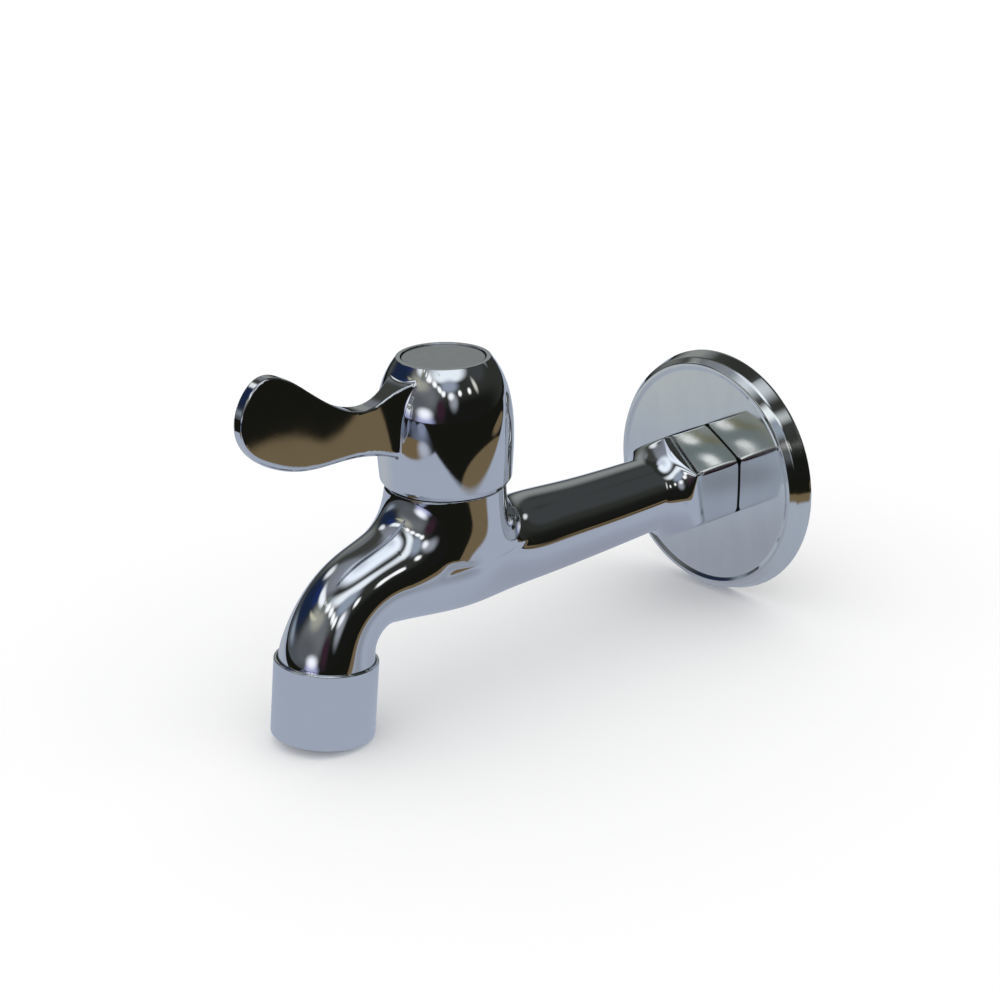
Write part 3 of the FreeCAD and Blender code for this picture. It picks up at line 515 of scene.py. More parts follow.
def buildCollar():
    c = collar
    profile, outs = roundedProfile([
        (c["rim"], 0, 0.15), (c["radius"], 0, c["edge"]), (c["radius"], c["height"], c["edge"]),
        (c["mouth"], c["height"], 0.3), (c["mouth"], c["mouthZ"], 0.15), (c["coreBore"], c["mouthZ"], 0.1),
        (c["coreBore"], c["coreSeat"], 0.1), (c["bore"], c["coreSeat"], 0.1), (c["bore"], c["step"], 0.1),
        (c["rim"], c["step"], 0.1)], closed=True)
    rings, ringOuts = turnedRings(profile, outs, c["turns"])
    return addMesh("collar_shell", fromOutlet(rings).reshape(-1, 3) + outletPoint,
                   fromOutlet(ringOuts).reshape(-1, 3), ringFaces(len(profile), c["turns"], closed=True))


# The wall flange, a pressed dish turned about the inlet axis: radii from the hole to the rim, then depths.
flange = {"hole": 10.78, "face": 30.5, "lip": 31.55, "lipOuter": 32.4, "bevel": 33.9, "rim": 35.0,
          "bevelY": -4.6, "depth": 5.9, "rise": 0.6, "edge": 0.8, "sheet": 1.2, "turns": 288}


def buildFlange():
    f = flange
    front, lip, back = -f["depth"], -f["depth"] - f["rise"], f["sheet"] - f["depth"]
    inner = f["rim"] - f["sheet"]
    profile, outs = roundedProfile([
        (f["hole"], front, 0.2), (f["face"], front, 0.8), (f["lip"], lip, 0.3), (f["lipOuter"], lip, 0.45),
        (f["bevel"], f["bevelY"], 2.2), (f["rim"], -f["edge"], 0.6), (f["rim"], 0, 0.25), (inner, 0, 0.25),
        (inner, -f["edge"], 0.3), (f["lipOuter"] - f["sheet"], lip + f["sheet"], 0.3),
        (f["face"], back, 0.5), (f["hole"], back, 0.2)], closed=True)
    rings, ringOuts = turnedRings(profile, outs, f["turns"])
    # turned about Y: the profile's length runs along y
    turned = [np.stack([part[..., 1], part[..., 2], part[..., 0]], -1) for part in (rings, ringOuts)]
    return addMesh("flange_dish", turned[0].reshape(-1, 3), turned[1].reshape(-1, 3),
                   ringFaces(len(profile), f["turns"], closed=True))


# The handle, dome and lever with its hollow and hub in one casting: heights and radii of the dome, the
# lever's outline as (reach from the valve axis, z), its thickness along the reach, and the turned inside from
# the lip down, as (r, z, rounding): cap recess, well for the screw, hub with the spline bush, hollow, skirt.
lever = {
    "domeKeys": [(24.3, 16.75), (36.0, 17.35), (47.0, 16.1), (53.2, 13.45), (55.6, 11.8)],
    "outline": [(9.5, 53.2), (14.5, 52.0), (24.5, 48.0), (33.5, 50.1), (42.3, 56.0), (54.4, 61.7),
                (61.9, 51.2), (59.6, 44.2), (53.0, 39.2), (43.5, 36.4), (30.0, 36.35), (14.5, 32.4),
                (9.5, 30.6)],
    "thickness": [(9.5, 14.0), (13.5, 10.0), (17.0, 6.5), (27.0, 5.4), (42.0, 4.3), (54.4, 3.6), (64.0, 3.2)],
    "inside": [(11.8, 55.6, 0.22), (10.7, 55.6, 0.15), (10.7, 53.8, 0.2), (5.62, 53.8, 0.1),
               (5.62, 48.7, 0.2), (2.65, 48.7, 0.1), (2.65, 46.3, 0.1), (6.3, 46.3, 0.2), (6.3, 37.5, 0.3),
               (8.6, 37.5, 0.3), (8.6, 46.3, 0.4), (10.7, 46.3, 0.4), (13.7, 45.5, 1.5), (14.95, 36.0, 4.0),
               (14.95, 32.0, 4.0), (13.45, 23.0, 0.2), (15.85, 23.0, 0.25), (16.75, 24.3, 1.2)],
    "topRound": 0.5, "soleRound": 1.68, "blend": 2.0, "step": 0.4, "turns": 176,
    "tableStep": 0.25, "tableReach": (4.0, 67.0), "tableRise": (25.0, 65.0),
    "joinLow": 26.0, "joinTop": 54.8, "crownEnd": 55.3, "domeReach": 25.0,
    "netSide": 18.4, "netReach": 63.6, "netTop": 63.2,
}
domeCurve = smoothCurve(*zip(*lever["domeKeys"]))
thicknessCurve = smoothCurve(*zip(*lever["thickness"]))


# Tables over the lever's plane (reach, z): how far each spot is from the outline, negative inside, and
# how round the nearest edge is, small along the top and the tip and large along the sole.
def leverTables():
    keys = np.array(lever["outline"])
    lengths = np.concatenate([[0], np.cumsum(np.linalg.norm(np.diff(keys, axis=0), axis=1))])
    along = np.linspace(0, lengths[-1], 900)
    line = smoothCurve(lengths, keys)(along)
    line = np.concatenate([line, line[:1]])
    step = lever["tableStep"]
    reach, z = np.arange(*lever["tableReach"], step), np.arange(*lever["tableRise"], step)
    spots = np.stack(np.meshgrid(reach, z, indexing="ij"), -1).reshape(-1, 2)
    start, way = line[:-1], np.diff(line, axis=0)
    distance, roundness = np.empty(len(spots)), np.empty(len(spots))
    # the sole's rounding grows in from a third of the way between the outline's keys 6 and 7 to key 8
    soleStart = lengths[6] + 0.35 * (lengths[7] - lengths[6])
    edgeRound = lever["topRound"] + (lever["soleRound"] - lever["topRound"]) * smoothStep(
        soleStart, lengths[8], along)
    for block in np.array_split(np.arange(len(spots)), 24):
        away = spots[block, None] - start
        share = np.clip((away * way).sum(-1) / (way ** 2).sum(-1), 0, 1)
        gap = away - share[..., None] * way
        far = np.hypot(gap[..., 0], gap[..., 1])
        nearest = far.argmin(1)
        rows = np.arange(len(block))
        side = way[nearest, 0] * away[rows, nearest, 1] - way[nearest, 1] * away[rows, nearest, 0]
        distance[block] = far[rows, nearest] * np.sign(side)
        roundness[block] = edgeRound[nearest]
    shape = (len(reach), len(z))
    return distance.reshape(shape), roundness.reshape(shape)


outlineTable, roundTable = leverTables()


# A table read between its points: cubic weights of the four points on each side.
def tableAt(table, reach, z):
    def weights(share):
        s = share
        return [-0.5 * s + s ** 2 - 0.5 * s ** 3, 1 - 2.5 * s ** 2 + 1.5 * s ** 3,
                0.5 * s + 2 * s ** 2 - 1.5 * s ** 3, -0.5 * s ** 2 + 0.5 * s ** 3]
    u = np.clip((reach - lever["tableReach"][0]) / lever["tableStep"], 1, table.shape[0] - 3.001)
    v = np.clip((z - lever["tableRise"][0]) / lever["tableStep"], 1, table.shape[1] - 3.001)
    i, j = u.astype(int), v.astype(int)
    across, up = weights(u - i), weights(v - j)
    return sum(across[a] * up[b] * table[i + a - 1, j + b - 1] for a in range(4) for b in range(4))


# The dome: how far a point is from its turned surface, its step in radius over the slope's length.
def domeField(p):
    z = p[:, 2]
    slope = (domeCurve(z + 0.05) - domeCurve(z - 0.05))[:, 0] / 0.1
    return (np.hypot(p[:, 0], p[:, 1] - casting["valveY"]) - domeCurve(z)[:, 0]) / np.hypot(1, slope)


# The lever's plate: inside its outline and within half its thickness, with the edge rounded over.
def plateField(p):
    reach = casting["valveY"] - p[:, 1]
    rounding = tableAt(roundTable, reach, p[:, 2])
    a = tableAt(outlineTable, reach, p[:, 2]) + rounding
    side = np.abs(p[:, 0]) - thicknessCurve(reach)[:, 0] / 2
    b = np.maximum(side, lever["outline"][0][0] - reach) + rounding
    return np.minimum(np.maximum(a, b), 0) + np.hypot(np.maximum(a, 0), np.maximum(b, 0)) - rounding


# Union of dome and lever with a rolled fillet: where both are nearer than k, the surface is a circle of
# radius k that touches the two.
def handleField(p):
    k = lever["blend"]
    dome, plate = domeField(p), plateField(p)
    field = np.minimum(dome, plate)
    near = np.flatnonzero((dome < k) & (plate < k) & (field > -1.5))
    q = p[near]
    domeOut, plateOut = fieldSlope(domeField, q, 0.01), fieldSlope(plateField, q, 0.01)
    c = (domeOut * plateOut).sum(1) / np.maximum(
        np.linalg.norm(domeOut, axis=1) * np.linalg.norm(plateOut, axis=1), 1e-6)
    c = np.clip(c, -0.999, 0.999)
    a, b = k - dome[near], k - plate[near]
    between = (a > c * b) & (b > c * a)
    ball = np.sqrt(np.maximum(a * a + b * b - 2 * c * a * b, 0) / (1 - c * c))
    field[near] = np.where(between, k - ball, field[near])
    return field


# The handle is a net of its field between two level planes, and a turned shell for the crown and the inside,
# bridged to the net's two rings.
def buildHandle():
    h, v, turns = lever, casting["valveY"], lever["turns"]
    low = (-h["netSide"], v - h["netReach"], h["joinLow"])
    high = (h["netSide"], v + h["netSide"], h["netTop"])
    net, netOut, quads, (lowRing, topRing) = fieldNet(
        handleField, low, high, h["step"], [(2, -1), (2, 1)],
        drop=lambda centres: (centres[:, 2] > h["joinTop"]) & (centres[:, 1] > v - h["domeReach"]))
    crownZ = np.linspace(h["joinTop"] + 0.12, h["crownEnd"] - 0.05, 4)
    slope = (domeCurve(crownZ + 0.05) - domeCurve(crownZ - 0.05))[:, 0] / 0.1
    crown = np.stack([domeCurve(crownZ)[:, 0], crownZ], -1)
    crownOut = np.stack([np.ones(4), -slope], -1) / np.hypot(1, slope)[:, None]
    skirtEnd = h["joinLow"] - 0.12
    topRadius, skirtRadius = domeCurve(np.array([h["crownEnd"], skirtEnd]))[:, 0]
    rest, restOut = roundedProfile([
        (topRadius, h["crownEnd"], 0.1), *h["inside"], (skirtRadius, skirtEnd, 0.1)])
    profile, outs = np.concatenate([crown, rest]), np.concatenate([crownOut, restOut])
    shell, shellOut = turnedRings(profile, outs, turns)
    shell = shell + np.array([0, v, 0])
    start = len(net)
    last = start + (len(profile) - 1) * turns
    shellAngle = np.linspace(0, 2 * math.pi, turns, endpoint=False)
    netAngle = np.arctan2(net[:, 1] - v, net[:, 0]) % (2 * math.pi)
    bridges = [bridgeFaces(topRing, netAngle[topRing], start + np.arange(turns), shellAngle),
               bridgeFaces(last + np.arange(turns), shellAngle, lowRing, netAngle[lowRing])]
    return addMesh("handle_casting", np.concatenate([net, shell.reshape(-1, 3)]),
                   np.concatenate([netOut, shellOut.reshape(-1, 3)]),
                   np.concatenate([quads, ringFaces(len(profile), turns, start)]), np.concatenate(bridges))


# The round cap in the top of the handle: a disc dished a little, on a short hollow stem.
capDisc = {"radius": 10.45, "low": 53.8, "top": 55.3, "edge": 0.22, "dish": 0.12, "flatEdge": 0.9,
           "middle": 0.3, "stem": 5.6, "stemBore": 4.7, "stemLow": 52.2, "turns": 144}


def buildCap():
    c = capDisc
    dished = c["top"] - c["dish"]
    profile, outs = roundedProfile([
        (c["middle"], c["low"], 0.1), (c["stemBore"], c["low"], 0.1), (c["stemBore"], c["stemLow"], 0.1),
        (c["stem"], c["stemLow"], 0.1), (c["stem"], c["low"], 0.1), (c["radius"], c["low"], 0.1),
        (c["radius"], c["top"], c["edge"]), (c["radius"] - c["flatEdge"], c["top"], 2.0),
        (c["middle"], dished, 0.1)])
    rings, ringOuts = turnedRings(profile, outs, c["turns"])
    points = np.concatenate([rings.reshape(-1, 3), [[0, 0, c["low"]], [0, 0, dished]]])
    normals = np.concatenate([ringOuts.reshape(-1, 3), [[0, 0, -1], [0, 0, 1]]])
    count = len(profile) * c["turns"]
    fans = [fanFaces(np.arange(c["turns"]), count, ending=False),
            fanFaces(count - c["turns"] + np.arange(c["turns"]), count + 1)]
    return addMesh("cap_disc", points + np.array([0, casting["valveY"], 0]), normals,
                   ringFaces(len(profile), c["turns"]), np.concatenate(fans))


bodyCasting, spoutEnd, collarShell = buildBody(), buildSpoutEnd(), buildCollar()
flangeDish, handleCasting, handleDisc = buildFlange(), buildHandle(), buildCap()
for piece, bodyName, node in (
        (bodyCasting, "tap", "body"), (spoutEnd, "tap", "body"), (collarShell, "tap", "aerator_collar"),
        (flangeDish, "tap", "wall_flange"), (handleCasting, "lever_handle", "handle"),
        (handleDisc, "lever_handle", "handle_cap")):
    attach(piece, bodyName)
    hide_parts(node)
print("shapes done")


# An sRGB hex colour as linear parts and an alpha of 1.
def toLinear(colour):
    parts = [int(colour[k:k + 2], 16) / 255 for k in (1, 3, 5)]
    return [c / 12.92 if c <= 0.04045 else ((c + 0.055) / 1.055) ** 2.4 for c in parts] + [1]


# Adds a node with its settings, then its inputs, each a value or a link, by name (From_Min) or number (i0).
def addNode(tree, kind, settings=None, **inputs):
    node = tree.nodes.new(kind)
    for name, value in (settings or {}).items():
        setattr(node, name, value)
    for name, value in inputs.items():
        numbered = name[0] == "i" and name[1:].isdigit()
        socket = node.inputs[int(name[1:]) if numbered else name.replace("_", " ")]
        if isinstance(value, bpy.types.NodeSocket):
            tree.links.new(value, socket)
        else:
            socket.default_value = value
    return node


# The result of one sum on values or links.
def mathNode(tree, operation, *terms):
    inputs = {f"i{k}": term for k, term in enumerate(terms)}
    return addNode(tree, "ShaderNodeMath", {"operation": operation}, **inputs).outputs[0]


# An empty material, its node tree, and the place on the object that patterns are laid out by.
def newMaterial(name):
    material = bpy.data.materials.new(name)
    material.use_nodes = True
    tree = material.node_tree
    tree.nodes.clear()
    return material, tree, addNode(tree, "ShaderNodeTexCoord").outputs["Object"]


# One finish: two tones, a span of roughness and a fine relief, all from one noise whose grain is given in
# millimetres and may be drawn out along an axis.
def grainFinish(name, tones, roughness, grain, relief, metallic=0.0, drawn=(1, 1, 1)):
    material, tree, place = newMaterial(name)
    shader = addNode(tree, "ShaderNodeBsdfPrincipled", None, Metallic=metallic)
    addNode(tree, "ShaderNodeOutputMaterial", None, Surface=shader.outputs[0])
    along = addNode(tree, "ShaderNodeMapping", None, Vector=place, Scale=drawn)
    noise = addNode(tree, "ShaderNodeTexNoise", None, Vector=along.outputs[0], Scale=1000.0 / grain,
                    Detail=3.0)
    blend = addNode(tree, "ShaderNodeMix", {"data_type": "RGBA"}, i0=noise.outputs["Fac"],
                    i6=toLinear(tones[0]), i7=toLinear(tones[1]))
    # most of the noise lies between 0.3 and 0.7
    spread = addNode(tree, "ShaderNodeMapRange", None, Value=noise.outputs["Fac"], From_Min=0.3, From_Max=0.7,
                     To_Min=roughness[0], To_Max=roughness[1])
    bump = addNode(tree, "ShaderNodeBump", None, Height=noise.outputs["Fac"], Distance=relief / 1000)
    for source, socket in ((blend.outputs[2], "Base Color"), (spread.outputs[0], "Roughness"),
                           (bump.outputs[0], "Normal")):
        tree.links.new(source, shader.inputs[socket])
    return material


# Chrome plate, cast and buffed: a cool, nearly perfect mirror, with the faint slow ripple that buffing leaves
# (7 mm apart), so straight reflections waver a little.
buffedChrome = grainFinish("buffed chrome plate", ("#e6e8ea", "#e2e4e7"), (0.035, 0.06), 7.0, 0.005, 1.0)
# Chrome plate on turned parts: as bright, with less ripple.
turnedChrome = grainFinish("turned chrome plate", ("#e6e8ea", "#e3e5e8"), (0.05, 0.08), 3.0, 0.0006, 1.0)
# Chrome plate on thin pressed sheet: reflections are soft-edged, a shade warmer and faintly streaked.
pressedChrome = grainFinish("chrome plate on pressed sheet", ("#eef0ec", "#e2e4e3"), (0.06, 0.1), 5.0, 0.004,
                            1.0, (1, 1, 0.3))
# Satin chrome on the cap: the light spreads, so it looks plain grey.
satinChrome = grainFinish("satin chrome plate", ("#dee0e1", "#d6d8da"), (0.23, 0.26), 2.0, 0.0004, 1.0)

# The painted shade in the joint of casting and flange: how far before the casting's edge the middle of its
# dark line lies, half the line's width and its soft edge, in mm, and the dull black (linear) of the painted
# shade in it.
jointShade = {"before": 0.1, "half": 0.42, "soft": 0.12, "colour": (0.02, 0.02, 0.022, 1),
             "roughness": 0.5}


# Paints shade on the plate near the back of the hexagon, where the greater of two distances is about nothing:
# along y past its back, and radius plus y past its bevel.
def paintJointShade(material):
    tree = material.node_tree
    shader = next(node for node in tree.nodes if node.type == "BSDF_PRINCIPLED")
    place = addNode(tree, "ShaderNodeTexCoord").outputs["Object"]
    x, y, z = addNode(tree, "ShaderNodeSeparateXYZ", None, i0=place).outputs
    across = addNode(tree, "ShaderNodeCombineXYZ", None, i0=x, i2=z)
    radius = addNode(tree, "ShaderNodeVectorMath", {"operation": "LENGTH"}, i0=across.outputs[0])
    bevelSum = (casting["turned"] - casting["backChamfer"] + casting["hexBack"]) / 1000
    pastBevel = mathNode(tree, "SUBTRACT", mathNode(tree, "ADD", radius.outputs["Value"], y), bevelSum)
    pastBack = mathNode(tree, "SUBTRACT", y, casting["hexBack"] / 1000)
    past = mathNode(tree, "MAXIMUM", pastBevel, pastBack)
    size = mathNode(tree, "ABSOLUTE", mathNode(tree, "ADD", past, jointShade["before"] / 1000))
    half, soft = jointShade["half"] / 1000, jointShade["soft"] / 1000
    dark = addNode(tree, "ShaderNodeMapRange", None, Value=size, From_Min=half + soft / 2,
                   From_Max=half - soft / 2)
    for socket, tone in (("Base Color", jointShade["colour"]),
                         ("Roughness", [jointShade["roughness"]] * 3 + [1])):
        plate = shader.inputs[socket].links[0].from_socket
        both = addNode(tree, "ShaderNodeMix", {"data_type": "RGBA"}, i0=dark.outputs[0], i6=plate, i7=tone)
        tree.links.new(both.outputs[2], shader.inputs[socket])


# the dark line in the joint is painted shade
paintJointShade(buffedChrome)
for piece, finish in ((bodyCasting, buffedChrome), (spoutEnd, turnedChrome), (collarShell, turnedChrome),
                      (flangeDish, pressedChrome), (handleCasting, buffedChrome), (handleDisc, satinChrome)):
    piece.data.materials.append(finish)

# Turned brass: warm yellow with fine level tool lines. Stainless steel: grey, with the drawn lines of sheet
# and wire. Spring steel: the same, darker from its heat treatment.
turnedBrass = grainFinish("turned brass", ("#d0a95f", "#b48a45"), (0.2, 0.34), 3.0, 0.006, 1.0, (1, 1, 12))
stainless = grainFinish("stainless steel", ("#bfc1c3", "#a4a6a9"), (0.24, 0.38), 1.2, 0.003, 1.0, (1, 6, 1))
springSteel = grainFinish("blued spring steel", ("#5a5b60", "#43444a"), (0.28, 0.42), 0.8, 0.003, 1.0)
# Moulded rubber: nearly black and dull, bloomed grey in specks; the greased rings shine more.
blackRubber = grainFinish("moulded black rubber", ("#141415", "#262627"), (0.55, 0.75), 0.4, 0.01)
greasedRubber = grainFinish("greased black rubber", ("#101011", "#1c1c1d"), (0.2, 0.4), 1.5, 0.01)
# Lapped alumina: a dense cream-white, smooth but not glassy, with a very fine speckle.
lappedAlumina = grainFinish("lapped alumina", ("#f0ede4", "#e5e1d6"), (0.22, 0.32), 0.25, 0.0008)
# Moulded acetal, nylon and the low-friction washer: milky whites with a soft, slightly uneven sheen.
mouldedAcetal = grainFinish("moulded acetal", ("#e6e4dd", "#d9d7cf"), (0.35, 0.5), 1.6, 0.008)
mouldedNylon = grainFinish("moulded nylon", ("#ebe9e1", "#dfdcd0"), (0.38, 0.55), 1.2, 0.01)
skivedFluoropolymer = grainFinish("skived fluoropolymer", ("#f1f1ee", "#e4e4e1"), (0.4, 0.55), 0.9, 0.006,
                                  0.0, (6, 1, 1))
# Vulcanised fibre: red-brown, matt, with short darker fibres.
redFibre = grainFinish("vulcanised fibre", ("#8f4530", "#6d2f20"), (0.65, 0.85), 0.5, 0.02, 0.0, (1, 4, 1))
for nodeName, finish in {
        "headwork_body": turnedBrass, "spindle": turnedBrass, "headwork_gasket": redFibre,
        "seat_seal": blackRubber, "spindle_o_rings": greasedRubber, "aerator_washer": blackRubber,
        "fixed_disc": lappedAlumina, "moving_disc": lappedAlumina, "friction_washer": skivedFluoropolymer,
        "retaining_clip": springSteel, "spline_bush": mouldedNylon, "handle_screw": stainless,
        "aerator_strainer": stainless, "aerator_fine_screens": stainless, "aerator_core": mouldedAcetal,
        "aerator_flow_grid": mouldedAcetal}.items():
    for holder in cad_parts[nodeName].material_slots:
        holder.material = finish
print("materials done")


# The floor, just under the tap, and the bench and room that it mirrors: heights, half sizes and radius in
# metres, the strength of their glow, and what is added to the floor that the camera sees.
stage = {"floorZ": -0.03505, "floorHalf": 6, "benchZ": -0.0353, "benchHalf": 3, "roomRadius": 4.0,
         "glow": 1.25, "floorLift": "#2a2a2a"}


# A flat-faced mesh that isn't part of the tap.
def flatPiece(name, points, faces, finish):
    mesh = bpy.data.meshes.new(name)
    mesh.from_pydata([tuple(point) for point in points], [], [tuple(face) for face in faces])
    mesh.materials.append(finish)
    piece = bpy.data.objects.new(name, mesh)
    bpy.context.scene.collection.objects.link(piece)
    return piece


# Corners of a level square: plus and minus half its width, at one height.
def levelSquare(half, z):
    return [(-half, -half, z), (half, -half, z), (half, half, z), (-half, half, z)]


# Matt white paper. What the camera sees of it is lifted a little, to the photograph's plain white.
whitePaper, tree = newMaterial("matt white paper")[:2]
paper = addNode(tree, "ShaderNodeBsdfDiffuse", None, Color=toLinear("#ffffff"))
lift = addNode(tree, "ShaderNodeEmission", None, Color=toLinear(stage["floorLift"]),
               Strength=addNode(tree, "ShaderNodeLightPath").outputs["Is Camera Ray"])
bothLights = addNode(tree, "ShaderNodeAddShader", None, i0=paper.outputs[0], i1=lift.outputs[0])
addNode(tree, "ShaderNodeOutputMaterial", None, Surface=bothLights.outputs[0])
floor = flatPiece("floor", levelSquare(stage["floorHalf"], stage["floorZ"]), [(0, 1, 2, 3)], whitePaper)
floor.visible_glossy = False


# Lays patches over a base colour. Each is a soft-edged ellipse in the plane that place gives: middle, half
# sizes, turn in degrees, softness and colour; later ones lie on top.
def paintPatches(tree, place, base, patches):
    colour = addNode(tree, "ShaderNodeRGB").outputs[0]
    colour.default_value = toLinear(base)
    for across, up, wide, high, turn, soft, tint in patches:
        centred = addNode(tree, "ShaderNodeVectorMath", {"operation": "SUBTRACT"}, i0=place,
                          i1=(across, up, 0))
        shaped = addNode(tree, "ShaderNodeMapping", {"vector_type": "TEXTURE"}, Vector=centred.outputs[0],
                         Rotation=(0, 0, math.radians(turn)), Scale=(wide, high, 1))
        far = addNode(tree, "ShaderNodeVectorMath", {"operation": "LENGTH"}, i0=shaped.outputs[0])
        share = addNode(tree, "ShaderNodeMapRange", {"interpolation_type": "SMOOTHSTEP"},
                        Value=far.outputs["Value"], From_Min=1 + soft, From_Max=1 - soft)
        colour = addNode(tree, "ShaderNodeMix", {"data_type": "RGBA"}, i0=share.outputs[0], i6=colour,
                         i7=toLinear(tint)).outputs[2]
    return colour


# A glow whose colour a function of the node tree and the place gives.
def glowFrom(name, colourOf):
    material, tree, place = newMaterial(name)
    glow = addNode(tree, "ShaderNodeEmission", None, Color=colourOf(tree, place), Strength=stage["glow"])
    addNode(tree, "ShaderNodeOutputMaterial", None, Surface=glow.outputs[0])
    return material


# What the plating mirrors: a dark room with a pale ceiling, a row of small lamps and a window, and a
# lavender-grey cloth over a wooden bench under the tap. Both are pieces that only reflections see.
# The room is in degrees: how far round from the front (towards +X), and how far above level.
roomPatches = [
    # walls, with darker, paler and blue parts
    (92, 4, 62, 17, 0, 0.4, "#161715"), (-60, 60, 52, 22, 0, 0.4, "#74787f"),
    (-106, 35, 20, 42, 0, 0.4, "#3b3d3a"), (-127, 20, 26, 14, 0, 0.7, "#828584"),
    (-112, 35, 10, 7, 0, 0.6, "#6e7176"), (-40, 68, 45, 12, 0, 0.5, "#7d828c"),
    (-50, 3, 42, 10, 0, 0.4, "#4c5056"), (-62, 26, 26, 16, 18, 0.5, "#1a253d"),
    (-50, 38, 14, 6, 10, 0.6, "#1c2a58"), (-50, -12, 18, 6, 0, 0.5, "#121d30"),
    (-60, 7, 12, 3.5, 0, 0.7, "#7f8a96"), (5, 24, 34, 20, 0, 0.4, "#66696c"),
    (-5, 14, 26, 9, 0, 0.6, "#55585b"), (-5, 35, 20, 7, 0, 0.6, "#97978d"),
    # ceiling, and the dark and pale parts under it
    (60, 90, 150, 25, 0, 0.25, "#e9f1fb"), (-100, 90, 200, 14, 0, 0.4, "#c5cbd8"),
    (150, 40, 40, 12, 0, 0.4, "#3b3d3e"), (-168, 40, 20, 12, 0, 0.4, "#3b3d3e"),
    (62, 50, 50, 6.5, 0, 0.5, "#e6ecf2"), (60, 39, 18, 8, 0, 0.5, "#8a94a3"),
    (43, 12, 7, 10, 0, 0.6, "#33202c"), (66, 20, 7, 9, 0, 0.6, "#8c9098"),
    # the row of lamps
    (-29, 45.5, 23, 4, 0, 0.5, "#eef3f8"), (12, 45, 8, 3.4, -8, 0.5, "#ffffff"),
    (28, 41, 6, 3.4, -25, 0.5, "#ffffff"), (40, 34.5, 6, 3, -40, 0.5, "#ffffff"),
    (48, 29.5, 3.6, 3.6, 0, 0.5, "#ffffff"), (62, 26, 5, 4, 0, 0.7, "#f4f4fa"),
    (80, 28, 3.4, 3.4, 0, 0.5, "#ffffff"), (100, 27, 3.2, 3.6, 0, 0.5, "#ffffff"),
    (116, 30, 3.5, 8, 0, 0.6, "#cac8c2"), (173, 28, 5, 5, 0, 0.6, "#d8dadc"),
    (-80, 37, 9, 5, 35, 0.6, "#dfe3e6"), (-20, 33, 14, 1.6, 6, 0.6, "#b9b7a4"),
    # two small lamps on a grey-green wall, over the hexagon
    (-2, 47, 8, 7, 0, 0.4, "#6e7878"), (-7, 46, 1.6, 6, 30, 0.5, "#6f6d55"),
    (-6, 47.3, 1.6, 1.5, 0, 0.25, "#ffffff"), (2, 46.6, 1.6, 1.5, 0, 0.25, "#ffffff"),
    # a window, low in front
    (18, -7, 17, 7, 0, 0.5, "#5d6a80"), (17, 0, 14, 6, 0, 0.5, "#9fa2c6"),
    (16, 6.5, 11, 4.2, 0, 0.7, "#f2f4fc"),
]
# The bench, in metres: wood, and pale and blue-grey light in front of it.
benchPatches = [
    (0.1, -0.01, 0.1, 0.13, 0, 0.05, "#6a5c45"), (0.2, 0.27, 0.06, 0.17, 0, 0.2, "#6a5c45"),
    (0.24, -1.25, 0.12, 0.95, 12, 0.3, "#7a8297"), (-0.02, -1.3, 0.09, 0.9, -2, 0.4, "#565d70"),
    (-0.03, -0.34, 0.1, 0.09, 0, 0.15, "#6a5a42"), (0.065, -0.33, 0.035, 0.06, 0, 0.7, "#a4a9b6"),
]
# The cloth: its edges in metres, how soft they are, its colour, and the shade under the tap.
cloth = {"x": (-0.5, 0.126), "y": (-0.285, 0.9), "edge": 0.005, "colour": "#9ba3b2", "shades": [
    (0.0, -0.03, 0.034, 0.05, 0, 0.9, "#8d929f"), (0.09, -0.085, 0.024, 0.022, 0, 0.8, "#868c98"),
    (-0.16, -0.14, 0.06, 0.05, 0, 0.9, "#a8adb2")]}


# The room's patches in degrees: the arctangent of x over -y, and the arcsine of the height.
def roomColour(tree, place):
    way = addNode(tree, "ShaderNodeVectorMath", {"operation": "NORMALIZE"}, i0=place)
    x, y, z = addNode(tree, "ShaderNodeSeparateXYZ", None, i0=way.outputs[0]).outputs
    around = mathNode(tree, "ARCTAN2", x, mathNode(tree, "MULTIPLY", y, -1.0))
    both = addNode(tree, "ShaderNodeCombineXYZ", None, i0=around, i1=mathNode(tree, "ARCSINE", z))
    degrees = addNode(tree, "ShaderNodeVectorMath", {"operation": "SCALE"}, i0=both.outputs[0],
                      Scale=math.degrees(1))
    return paintPatches(tree, degrees.outputs[0], "#2d2f2c", roomPatches)


# The bench's patches, with the cloth laid over them inside its edges, where the distance from its middle is
# under half its size along x and along y.
def benchColour(tree, place):
    under = paintPatches(tree, place, "#151511", benchPatches)
    parts = addNode(tree, "ShaderNodeSeparateXYZ", None, i0=place)
    inside = []
    for axis, (low, high) in ((0, cloth["x"]), (1, cloth["y"])):
        size = mathNode(tree, "ABSOLUTE", mathNode(tree, "SUBTRACT", parts.outputs[axis], (low + high) / 2))
        half = (high - low) / 2
        inside.append(addNode(tree, "ShaderNodeMapRange", None, Value=size, From_Min=half + cloth["edge"],
                              From_Max=half - cloth["edge"]).outputs[0])
    cover = mathNode(tree, "MULTIPLY", *inside)
    top = paintPatches(tree, place, cloth["colour"], cloth["shades"])
    laid = addNode(tree, "ShaderNodeMix", {"data_type": "RGBA"}, i0=cover, i6=under, i7=top)
    return laid.outputs[2]


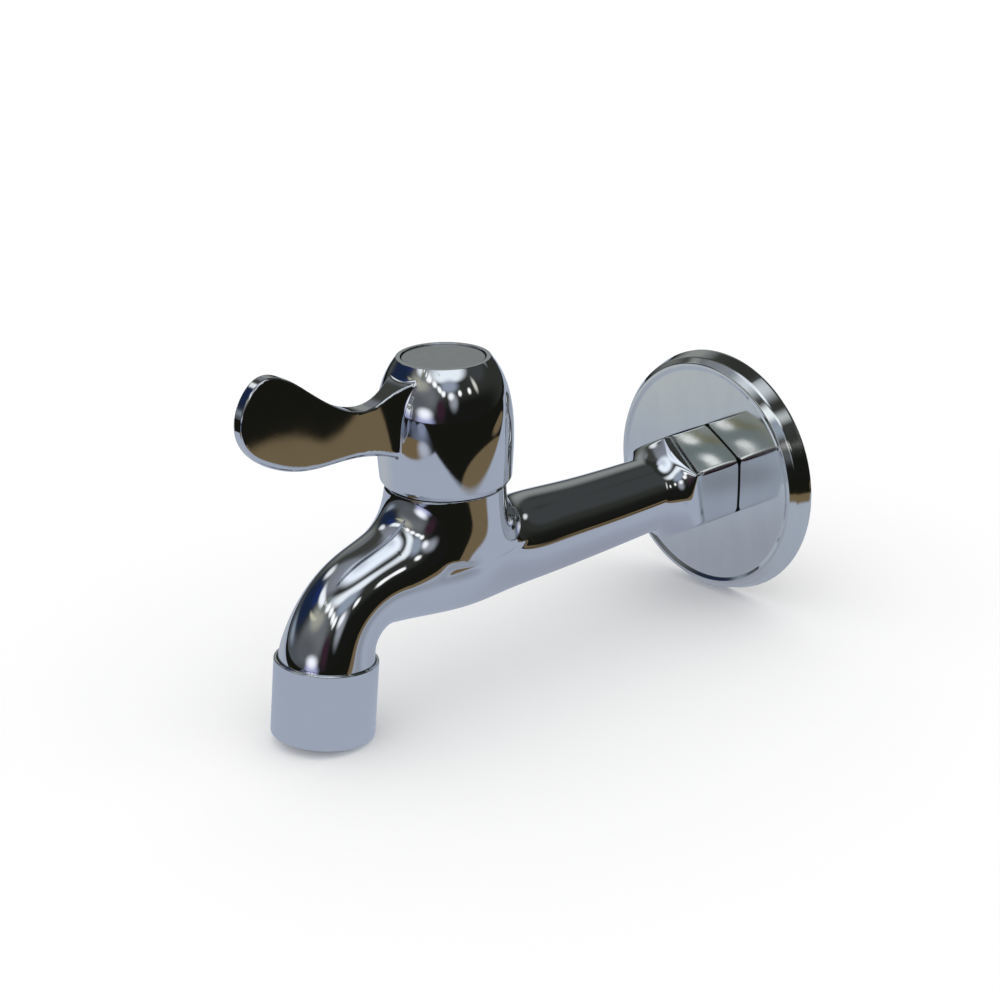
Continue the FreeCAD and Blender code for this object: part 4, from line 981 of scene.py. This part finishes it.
turn, rise = np.meshgrid(np.linspace(0, 2 * math.pi, 48, endpoint=False), np.linspace(-1.57, 1.57, 25))
dome = np.stack([np.cos(rise) * np.cos(turn), np.cos(rise) * np.sin(turn), np.sin(rise)], -1).reshape(-1, 3)
for name, points, faces, colourOf in (
        ("room", stage["roomRadius"] * dome, ringFaces(25, 48), roomColour),
        ("bench", levelSquare(stage["benchHalf"], stage["benchZ"]), [(0, 1, 2, 3)], benchColour)):
    piece = flatPiece(name, points, faces, glowFrom(name + " glow", colourOf))
    for ray in ("camera", "diffuse", "transmission", "volume_scatter", "shadow"):
        setattr(piece, "visible_" + ray, False)
print("stage done")

# plain soft light from all round
world = bpy.data.worlds.new("plain white")
world.use_nodes = True
world.node_tree.nodes["Background"].inputs["Color"].default_value = (1, 1, 1, 1)
world.node_tree.nodes["Background"].inputs["Strength"].default_value = 1
bpy.context.scene.world = world

# The camera, lined up with the photograph: angles in degrees, target and distance in metres.
view = {"azimuth": 47.81, "elevation": 22.08, "roll": -0.27, "target": (0, -0.071425, 0), "distance": 0.5586,
        "lens": 75.6, "sensor": 36, "shift": (-0.0346, 0.0329)}
eye = bpy.data.cameras.new("camera")
eye.lens, eye.sensor_width = view["lens"], view["sensor"]
eye.shift_x, eye.shift_y = view["shift"]
camera = bpy.data.objects.new("camera", eye)
bpy.context.scene.collection.objects.link(camera)
azimuth, elevation, roll = (math.radians(view[angle]) for angle in ("azimuth", "elevation", "roll"))
back = np.array([math.sin(azimuth) * math.cos(elevation), -math.cos(azimuth) * math.cos(elevation),
                 math.sin(elevation)])
level = np.array([math.cos(azimuth), math.sin(azimuth), 0])
upward = np.cross(back, level)
right = math.cos(roll) * level + math.sin(roll) * upward
up = math.cos(roll) * upward - math.sin(roll) * level
spot = np.array(view["target"]) + back * view["distance"]
camera.matrix_world = Matrix([[right[k], up[k], back[k], spot[k]] for k in range(3)] + [[0, 0, 0, 1]])
bpy.context.scene.camera = camera
bpy.context.scene.view_settings.view_transform = "Standard"
print("camera done")
